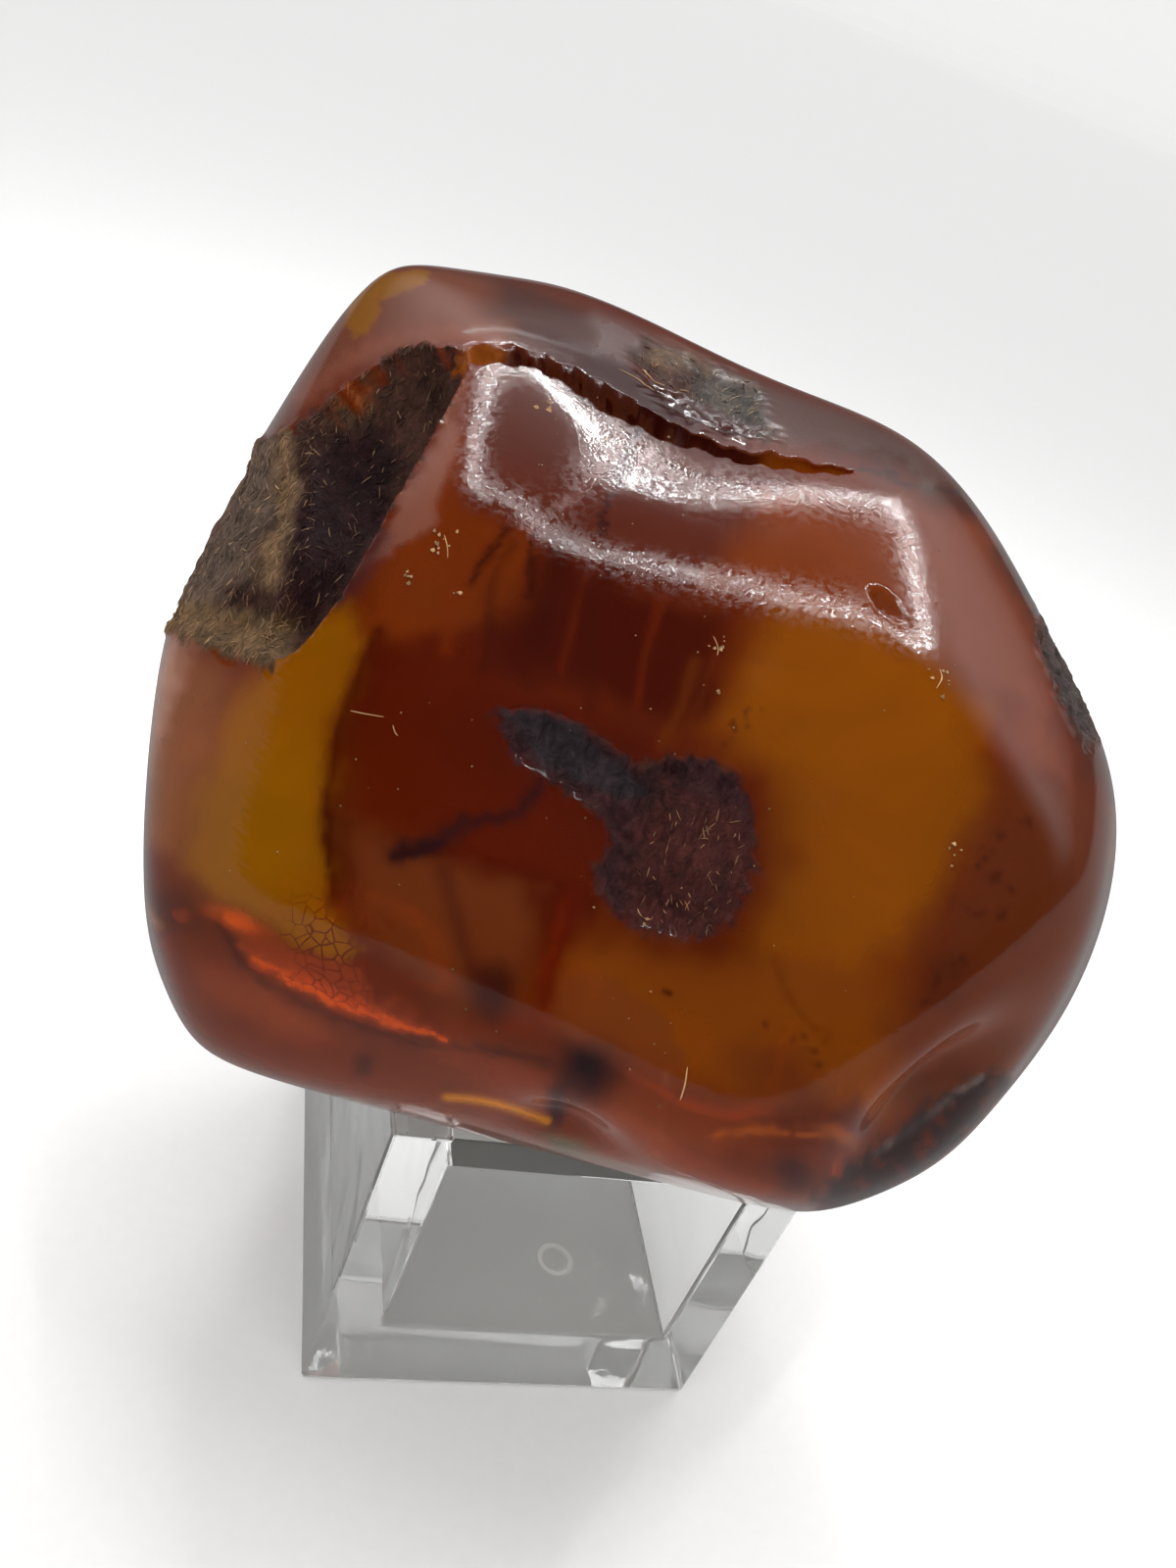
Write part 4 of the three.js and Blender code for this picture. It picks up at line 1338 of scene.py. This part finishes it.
@dataclass(frozen=True)
class Dust:
    """Pale crumbs and short fibres that lie on the amber, and fibres that stand in its crust."""

    nugget: Nugget
    crumbs: tuple[tuple[float, float, float, int], ...] = (
        (-14.4, 20.2, 0.7, 9), (-17.2, 8.2, 0.9, 10), (-18.7, 5.2, 0.6, 5), (-14.9, 5.4, 0.5, 4),
        (19, 12.8, 1.0, 8), (24, 1.6, 0.8, 5), (3.4, 9.1, 0.7, 6), (6, -11.2, 0.3, 2), (4.6, 6, 0.3, 2),
        (0, 2, 16.0, 26),
        (10, -17, 12.0, 18), (-20, -12, 8.0, 9), (-6, 18, 8.0, 12), (16, 16, 8.0, 8), (-2, -26, 12.0, 8),
    )
    strands: tuple[tuple[Point, Point, Point], ...] = (
        ((-19.3, -5.2), (-18.2, -5.0), (-16.9, -4.7)), ((-16.1, -5.0), (-15.8, -5.4), (-15.5, -5.6)),
        ((-10.8, 25.0), (-9.4, 24.9), (-7.8, 24.6)), ((-9.6, 26.0), (-8.6, 25.5), (-7.4, 25.6)),
        ((2.8, 9.6), (3.4, 9.0), (3.6, 8.4)), ((-17.4, 8.8), (-16.9, 8.1), (-16.6, 7.4)),
        ((12.6, -19.6), (12.9, -20.8), (13.0, -22.0)), ((5.2, -10.8), (5.7, -11.2), (6.4, -11.1)),
        ((18.6, 13.4), (19.0, 12.8), (18.9, 12.0)),
    )
    frayed: tuple[Point, ...] = ((4, -3), (9, -1.5), (12, -5), (11, -10), (6, -11.5), (3.5, -9))
    wide: float = 2.0
    fine_sizes: Point = (0.04, 0.09)
    coarse_sizes: Point = (0.06, 0.17)
    fine_levels: Point = (0.2, 0.6)
    coarse_levels: Point = (0.35, 1.0)
    strand_radius: float = 0.045
    pale: Colour = srgb(188, 150, 104)

    def build(self, crusted: bpy.types.Object) -> bpy.types.Object:
        """Scatters the dust over the show side and the crust.

        Args:
            crusted: the nugget's object, for the places of its crust.

        Returns:
            The dust's object.
        """
        rng = np.random.default_rng(77)
        middle = np.array(self.nugget.middle)
        points, faces, tints = [], [], []

        def add(shape: np.ndarray, corners: Sequence[Sequence[int]], tint: Colour) -> None:
            """Adds one closed crumb or fibre.

            Args:
                shape: its points.
                corners: the point numbers of each of its faces.
                tint: its colour.
            """
            start = sum(len(p) for p in points)
            points.append(shape)
            faces.extend([[start + k for k in face] for face in corners])
            tints.extend([tint] * len(shape))

        for right, up, spread, count in self.crumbs:
            places = rng.normal(size=(count, 2)) * spread * 0.5 + [right, up]
            for place in places:
                spot = self.lie(place[None])[0]
                size = rng.uniform(*(self.fine_sizes if spread > self.wide else self.coarse_sizes))
                shape = spot + size * np.array(CRUMB_POINTS) * rng.uniform(0.5, 1.4, (6, 1))
                faint = rng.uniform(*(self.coarse_levels if spread < self.wide else self.fine_levels))
                add(shape + middle, CRUMB_FACES, tuple(faint * c for c in self.pale))
        for line in self.strands:
            path = catmull(np.array(line), 5, False)
            add(*self.tube(self.lie(path) + middle, self.strand_radius), self.pale)
        for path, thick, tint in self.crust_fibres(crusted, rng):
            add(*self.tube(path, thick), tint)
        obj = make_object("dust_and_fibres", np.concatenate(points), faces)
        keep_values(obj, TINT, np.array(tints))
        obj.data.materials.append(self.material())
        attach(obj, "root")
        log.info("dust_and_fibres has %d faces", len(obj.data.polygons))
        return obj

    def lie(self, places: np.ndarray) -> np.ndarray:
        """Points that lie on the surface at places in the viewer's picture."""
        points = self.nugget.on_show(places)
        return self.nugget.skin(points / np.linalg.norm(points, axis=1, keepdims=True))

    @staticmethod
    def tube(path: np.ndarray, thick: float) -> tuple[np.ndarray, list[Sequence[int]]]:
        """A thin closed three-sided tube.

        Args:
            path: the rows along its middle.
            thick: its radius.

        Returns:
            Its points and its faces.
        """
        along = np.gradient(path, axis=0)
        side = np.cross(along, [0.3, 0.5, 0.81])
        side /= np.linalg.norm(side, axis=1, keepdims=True)
        over = np.cross(along, side)
        over /= np.linalg.norm(over, axis=1, keepdims=True)
        taper = thick * (1.0 - 0.7 * np.linspace(-1.0, 1.0, len(path)) ** 4)[:, None]
        turns = 2.0 * math.pi * np.arange(3) / 3
        rings = [path + taper * (math.cos(a) * side + math.sin(a) * over) for a in turns]
        points = np.stack(rings, axis=1).reshape(-1, 3)
        last = 3 * (len(path) - 1)
        faces: list[Sequence[int]] = [(2, 1, 0), (last, last + 1, last + 2)]
        for low in range(0, last, 3):
            for k in range(3):
                faces.append((low + k, low + (k + 1) % 3, low + 3 + (k + 1) % 3, low + 3 + k))
        return points, faces

    def crust_fibres(self, crusted: bpy.types.Object, rng: np.random.Generator) -> Iterable[tuple]:
        """The fibres of the crust.

        Args:
            crusted: the nugget's object.
            rng: the seeded random numbers.

        Returns:
            For each fibre its path, its radius and its colour.
        """
        spots = vectors_of(crusted, "co") / MM
        normals = vectors_of(crusted, "normal")
        tints = np.zeros(len(spots) * 4, np.float32)
        crusted.data.attributes[TINT].data.foreach_get("color", tints)
        tints = tints.reshape(-1, 4)[:, :3]
        cover = np.zeros(len(spots), np.float32)
        crusted.data.attributes[Mask.CRUST.value].data.foreach_get("value", cover)
        places = self.nugget.show.place(spots - np.array(self.nugget.middle))
        for chance, outline, count, long, pale in (
            (0.8, CRUST_OUTLINE, 2600, 0.9, 0.16),
            (0.8, self.frayed, 90, 0.7, 0.7),
            (0.7, ROUGH_TOP_OUTLINE, 120, 0.9, 0.5),
        ):
            allowed = np.flatnonzero((cover > chance) & (inside_outline(places, outline) > 0.2))
            for k in rng.choice(allowed, count):
                normal = unit(normals[k])
                grain = self.nugget.show.up + 0.5 * rng.normal(size=3)
                along = grain - normal * np.dot(grain, normal)
                length = long * rng.uniform(0.3, 1.0)
                bend = rng.normal(size=3) * 0.12 * length
                steps = np.linspace(-0.5, 0.5, 4)[:, None]
                rise = 0.03 - 0.5 * steps**2 * length * 0.12
                path = spots[k] + unit(along) * steps * length + bend * steps**2 + normal * rise
                lift = 0.35 if rng.uniform() < pale else 0.0
                tint = rng.uniform(0.5, 1.7) * tints[k] + lift * rng.uniform(0.3, 1.0) * np.array(self.pale)
                yield path, rng.uniform(0.02, 0.05), tuple(np.clip(tint, 0.0, 1.0))

    def material(self) -> bpy.types.Material:
        """The dry matte finish of dust."""
        tree = Tree(bpy.data.materials.new("dust"))
        worn = tree.shaded(tree.tint(), 0.7 + 0.6 * tree.noise(tree.place(), 1800.0))
        return tree.finish({"Surface": tree.shader({"Base Color": worn, "Roughness": 0.85})})


@dataclass(frozen=True)
class AmberFinish:
    """Polished amber: clear where light enters, clouded in zones, with matte crust."""

    ior: float = 1.54
    absorb_colour: Colour = (0.83, 0.44, 0.02)
    absorb_density: float = 110.0
    net_colour: Colour = srgb(92, 28, 6)
    cloud_low: float = 0.72
    cloud_range: float = 0.56
    gloss: float = 0.075
    scuffed_gloss: float = 0.4
    flecked_gloss: float = 0.22
    uneven_gloss: float = 0.08
    inner_gloss: float = 0.07
    crust_gloss: float = 0.8
    crust_ior: float = 1.4
    bright_level: float = 0.5
    # The reflection level where the reflection is weakened as painted shade.
    dimmed_reflection_level: float = 0.06
    inner_colour: Colour = (1.0, 0.9, 0.75)

    def material(self) -> bpy.types.Material:
        """The amber's material."""
        tree = Tree(bpy.data.materials.new("amber"))
        place, tint = tree.place(), tree.tint()
        crust, clear, scuffed, speckled, net, dimmed_reflection = (tree.mask(mask) for mask in Mask)
        cloud = tree.noise(place, 90.0, 5.0, 0.6, 0.8)
        cloudy_tint = tree.shaded(tint, self.cloud_low + self.cloud_range * cloud)
        web = tree.cells(tree.wavy(place, 300.0, 0.0012), 1250.0)
        lines = (1.0 - web.step(0.0, 0.1)) * net * tree.noise(place, 400.0).step(0.32, 0.5)
        netted_tint = tree.blend((0.95 * lines).clamped(), cloudy_tint, self.net_colour)
        grain = tree.noise(place, 3600.0, 2.0, 0.6)
        brushed = tree.noise(tree.stretched(place, 5.0), 420.0, 3.0, 0.55)
        height = brushed * (0.45 + 0.6 * speckled) + grain * (0.06 + 0.9 * speckled + 1.2 * scuffed)
        polish = tree.bump(0.35, 0.00006, height)
        flecks = 1.0 - tree.noise(place, 2400.0, 3.0, 0.6).step(0.45, 0.6)
        worn = self.scuffed_gloss * scuffed + self.flecked_gloss * speckled * flecks
        uneven = self.uneven_gloss * tree.noise(place, 260.0).step(0.5, 0.8)
        gloss = (self.gloss + worn + uneven).clamped()
        # Where the weakened-reflection mask is set, a weaker reflection stands in for dark surroundings:
        # painted shade.
        plain, netted = (
            tree.mix_shaders(dimmed_reflection, *(
                tree.shader({
                    "Base Color": colour, "Roughness": gloss, "IOR": self.ior, "Normal": polish,
                    "Specular IOR Level": level,
                })
                for level in (self.bright_level, self.dimmed_reflection_level)
            ))
            for colour in (cloudy_tint, netted_tint)
        )
        cloudy = tree.mix_shaders(net.step(0.002, 0.01), plain, netted)
        lucid = tree.shader({
            "Base Color": (*self.inner_colour, 1.0), "Roughness": self.inner_gloss, "IOR": self.ior,
            "Transmission Weight": 1.0, "Normal": polish,
        })
        body = tree.mix_shaders(clear, cloudy, lucid)
        fibre = tree.noise(tree.stretched(place, 0.35), 1900.0, 5.0, 0.7, 1.2)
        patchy = tree.noise(place, 420.0, 4.0, 0.6)
        earth = tree.shaded(tint, 0.3 + 1.5 * (fibre * 0.6 + patchy * 0.55).step(0.35, 0.85))
        relief = tree.bump(0.9, 0.0004, fibre + patchy * 0.6)
        matte = tree.shader({
            "Base Color": earth, "Roughness": self.crust_gloss, "IOR": self.crust_ior, "Normal": relief,
        })
        absorbs = {"Color": (*self.absorb_colour, 1.0), "Density": self.absorb_density}
        volume = tree.node("VolumeAbsorption", {}, absorbs)
        return tree.finish({"Surface": tree.mix_shaders(crust, body, matte), "Volume": volume})


@dataclass(frozen=True)
class Stand:
    """The clear moulded riser, a short square tube."""

    width: float = 32.0
    depth: float = 32.0
    height: float = 29.2
    side_wall: float = 4.6
    floor: float = 7.6
    top_plate: float = 2.9
    edge: float = 0.3

    def build(self, finish: "ClearFinish") -> bpy.types.Object:
        """Makes the stand and dresses it.

        Args:
            finish: the clear plastic's finish.

        Returns:
            The stand's object.
        """
        half, inner = self.width / 2, self.width / 2 - self.side_wall
        ceiling = self.height - self.top_plate
        outer = [(-half, 0), (half, 0), (half, self.height), (-half, self.height)]
        hole = [(-inner, self.floor), (inner, self.floor), (inner, ceiling), (-inner, ceiling)]
        points = []
        for y in (-self.depth / 2, self.depth / 2):
            points += [(x, y, z) for x, z in outer + hole]
        faces = []
        for i in range(4):
            j = (i + 1) % 4
            faces.append((i, j, j + 4, i + 4))
            faces.append((i + 8, i + 12, j + 12, j + 8))
            faces.append((i, i + 8, j + 8, j))
            faces.append((i + 4, j + 4, j + 12, i + 12))
        obj = make_object("stand_clear", np.array(points), faces)
        shape = bmesh.new()
        shape.from_mesh(obj.data)
        bmesh.ops.recalc_face_normals(shape, faces=shape.faces[:])
        sharp = [e for e in shape.edges if len(e.link_faces) == 2 and e.calc_face_angle() > 0.5]
        bmesh.ops.bevel(
            shape, geom=sharp, offset=self.edge * MM, segments=3, profile=0.5, affect="EDGES",
            clamp_overlap=True,
        )
        shape.to_mesh(obj.data)
        shape.free()
        obj.data.materials.append(finish.material())
        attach(obj, "root")
        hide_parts("stand")
        log.info("stand_clear has %d faces", len(obj.data.polygons))
        return obj


@dataclass(frozen=True)
class ClearFinish:
    """Clear moulded acrylic with faint swirls and a light haze."""

    ior: float = 1.49
    haze: float = 0.07
    foot_frost: float = 0.42
    clear_colour: Colour = (0.97, 0.985, 0.98)
    haze_colour: Colour = (0.95, 0.95, 0.9)
    frost_colour: Colour = (0.97, 0.96, 0.94)
    clear_gloss: float = 0.02
    haze_gloss: float = 0.25
    frost_gloss: float = 0.6
    gate_mark: tuple[float, float, float] = (0.0032, -0.0093, 0.0076)
    gate_radius: float = 0.0013
    gate_haze: float = 0.5

    def material(self) -> bpy.types.Material:
        """The clear plastic's material."""
        tree = Tree(bpy.data.materials.new("clear_acrylic"))
        place = tree.place()
        swirl = tree.noise(place, 85.0, 1.0, 0.3, 1.2)
        bump = tree.bump(0.16, 0.0006, swirl)
        lucid = tree.shader({
            "Base Color": (*self.clear_colour, 1.0), "Roughness": self.clear_gloss, "IOR": self.ior,
            "Transmission Weight": 1.0, "Normal": bump,
        })
        hazy, frosted = (
            tree.shader({"Base Color": (*colour, 1.0), "Roughness": gloss, "IOR": self.ior})
            for colour, gloss in ((self.haze_colour, self.haze_gloss), (self.frost_colour, self.frost_gloss))
        )
        height = tree.node("SeparateXYZ", {}, {0: place}, "Z")
        foot = self.foot_frost * (1.0 - height.step(0.0002, 0.0006))
        reach = tree.node("VectorMath", {"operation": "DISTANCE"}, {0: place, 1: self.gate_mark}, "Value")
        ring = 1.0 - (reach - self.gate_radius).size().step(0.0001, 0.0004)
        body = tree.mix_shaders(self.haze + ring * self.gate_haze, lucid, hazy)
        return tree.finish({"Surface": tree.mix_shaders(foot, body, frosted)})


@dataclass(frozen=True)
class Studio:
    """The pale floor, the soft lights and the camera."""

    nugget: Nugget
    lens: float = 31.8
    roll: float = 22.1
    floor_size: float = 4000.0
    floor_gap: float = 0.2
    sweep: float = 1200.0
    sweep_turn: float = 80.0
    strip_distance: float = 190.0
    strip_width: float = 1.2
    strip_overlap: float = 1.03
    strip_power: float = 0.00055
    sky: tuple[tuple[float, float], ...] = (
        (0.0, 0.25), (0.49, 0.25), (0.52, 0.06), (0.62, 0.1), (0.74, 0.72), (1.0, 0.4),
    )
    viewer_side: tuple[float, float] = (-0.35, 0.3)
    viewer_dim: float = 0.06
    sun_strength: float = 2.75
    sun_spread: float = 100.0

    def camera(self) -> None:
        """Sets the camera where the viewer stands."""
        show = self.nugget.show
        data = bpy.data.cameras.new("camera")
        data.lens, data.clip_start, data.clip_end = self.lens, 0.005, 20.0
        obj = add_object("camera", data)
        r = math.radians(self.roll)
        right = show.right * math.cos(r) + show.up * math.sin(r)
        up = show.up * math.cos(r) - show.right * math.sin(r)
        place = (np.array(self.nugget.middle) + np.array(show.viewer)) * MM
        turn = Matrix((right, up, -show.ahead)).transposed().to_4x4()
        obj.matrix_world = Matrix.Translation(place) @ turn
        bpy.context.scene.camera = obj

    def floor(self) -> None:
        """Lays the pale floor, which rises in a curve behind the nugget."""
        half = self.floor_size / 2
        back = unit([*self.nugget.show.ahead[:2], 0.0])
        side = np.array([-back[1], back[0], 0.0])
        run = [(-half, 0.0), (half, 0.0)]
        for a in np.radians(np.linspace(0.0, self.sweep_turn, 17))[1:]:
            run.append((half + self.sweep * math.sin(a), self.sweep * (1 - math.cos(a))))
        points = []
        for along, up in run:
            middle = back * along + [0, 0, up - self.floor_gap]
            points += [middle - side * half, middle + side * half]
        faces = [(2 * i, 2 * i + 2, 2 * i + 3, 2 * i + 1) for i in range(len(run) - 1)]
        obj = make_object("floor", np.array(points), faces)
        tree = Tree(bpy.data.materials.new("floor"))
        paper = tree.noise(tree.place(), 900.0, 3.0)
        colour = tree.blend(paper, (0.9, 0.9, 0.895), (0.94, 0.94, 0.935))
        surface = tree.shader({"Base Color": colour, "Roughness": 0.7})
        obj.data.materials.append(tree.finish({"Surface": surface}))
        obj.visible_glossy = False

    def strip(self, name: str, start: np.ndarray, end: np.ndarray) -> None:
        """Hangs a strip lamp that faces the nugget.

        Args:
            name: its name.
            start: one of its ends, in millimetres.
            end: its other end.
        """
        centre, length = (start + end) / 2, np.linalg.norm(end - start)
        toward = unit(np.array(self.nugget.middle) - centre)
        along = unit((end - start) - toward * np.dot(end - start, toward))
        data = bpy.data.lights.new(name, "AREA")
        data.shape = "RECTANGLE"
        data.size, data.size_y = length * self.strip_overlap * MM, self.strip_width * MM
        data.energy = self.strip_power * length
        obj = add_object(name, data)
        obj.location = Vector(centre * MM)
        obj.rotation_euler = Matrix((along, np.cross(-toward, along), -toward)).transposed().to_euler()

    def loop_lamps(self) -> None:
        """Hangs the strip lamps whose reflection draws the bright loop on the upper facet."""
        show, on_show = self.nugget.show, self.nugget.on_show
        places, step = np.array(LOOP), 0.4
        points = on_show(places)
        right, up = (on_show(places + np.array(shift)) - points for shift in ((step, 0.0), (0.0, step)))
        normal = np.cross(right, up)
        normal /= np.linalg.norm(normal, axis=1, keepdims=True)
        normal *= np.sign(np.sum(normal * points, axis=1, keepdims=True))
        look = points - np.array(show.viewer)
        look /= np.linalg.norm(look, axis=1, keepdims=True)
        bounce = look - 2.0 * np.sum(look * normal, axis=1, keepdims=True) * normal
        ends = points + bounce * self.strip_distance + np.array(self.nugget.middle)
        for i, start in enumerate(ends):
            self.strip(f"loop_{i:02d}", start, ends[(i + 1) % len(ends)])
        log.info("the loop lamps span %s mm", np.round(ends.max(0) - ends.min(0)))

    def surround(self) -> None:
        """Surrounds the scene with a sky that is bright overhead, and dim around the viewer."""
        world = bpy.data.worlds.new("studio")
        bpy.context.scene.world = world
        tree = Tree(world)
        way = tree.node("TexCoord", {}, {}, "Generated")
        height = tree.node("SeparateXYZ", {}, {0: way}, "Z")
        share = tree.node("MapRange", {}, {"Value": height, "From Min": -1.0}, "Result")
        colour = tree.ramp(share, self.sky)
        toward = {0: way, 1: unit(self.nugget.show.viewer)}
        side = tree.node("VectorMath", {"operation": "DOT_PRODUCT"}, toward, "Value")
        below = height.maths("LESS_THAN", height, 0.0)
        strength = below.most(side.step(*self.viewer_side, 1.0, self.viewer_dim))
        sky = tree.node("Background", {}, {"Color": colour, "Strength": strength})
        tree.node("OutputWorld", {}, {"Surface": sky})

    def key(self) -> None:
        """Adds the soft key light."""
        data = bpy.data.lights.new("key", "SUN")
        data.energy, data.angle = self.sun_strength, math.radians(self.sun_spread)
        obj = add_object("key", data)
        obj.rotation_euler = Vector(-facing(*KEY_FROM)).to_track_quat("-Z", "Y").to_euler()
        obj.visible_glossy = False

    def build(self) -> None:
        """Sets up the whole studio."""
        self.camera()
        self.floor()
        self.surround()
        self.key()
        self.loop_lamps()
        view = bpy.context.scene.view_settings
        view.view_transform, view.look, view.exposure = "Standard", "None", 0.0
        log.info("studio set")


def main() -> None:
    """Builds every piece, then the studio."""
    logging.basicConfig(level=logging.INFO, format="%(message)s")
    nugget = Nugget()
    stone = nugget.build(AmberFinish())
    Dust(nugget).build(stone)
    Stand().build(ClearFinish())
    Studio(nugget).build()


if __name__ == "__main__":
    main()
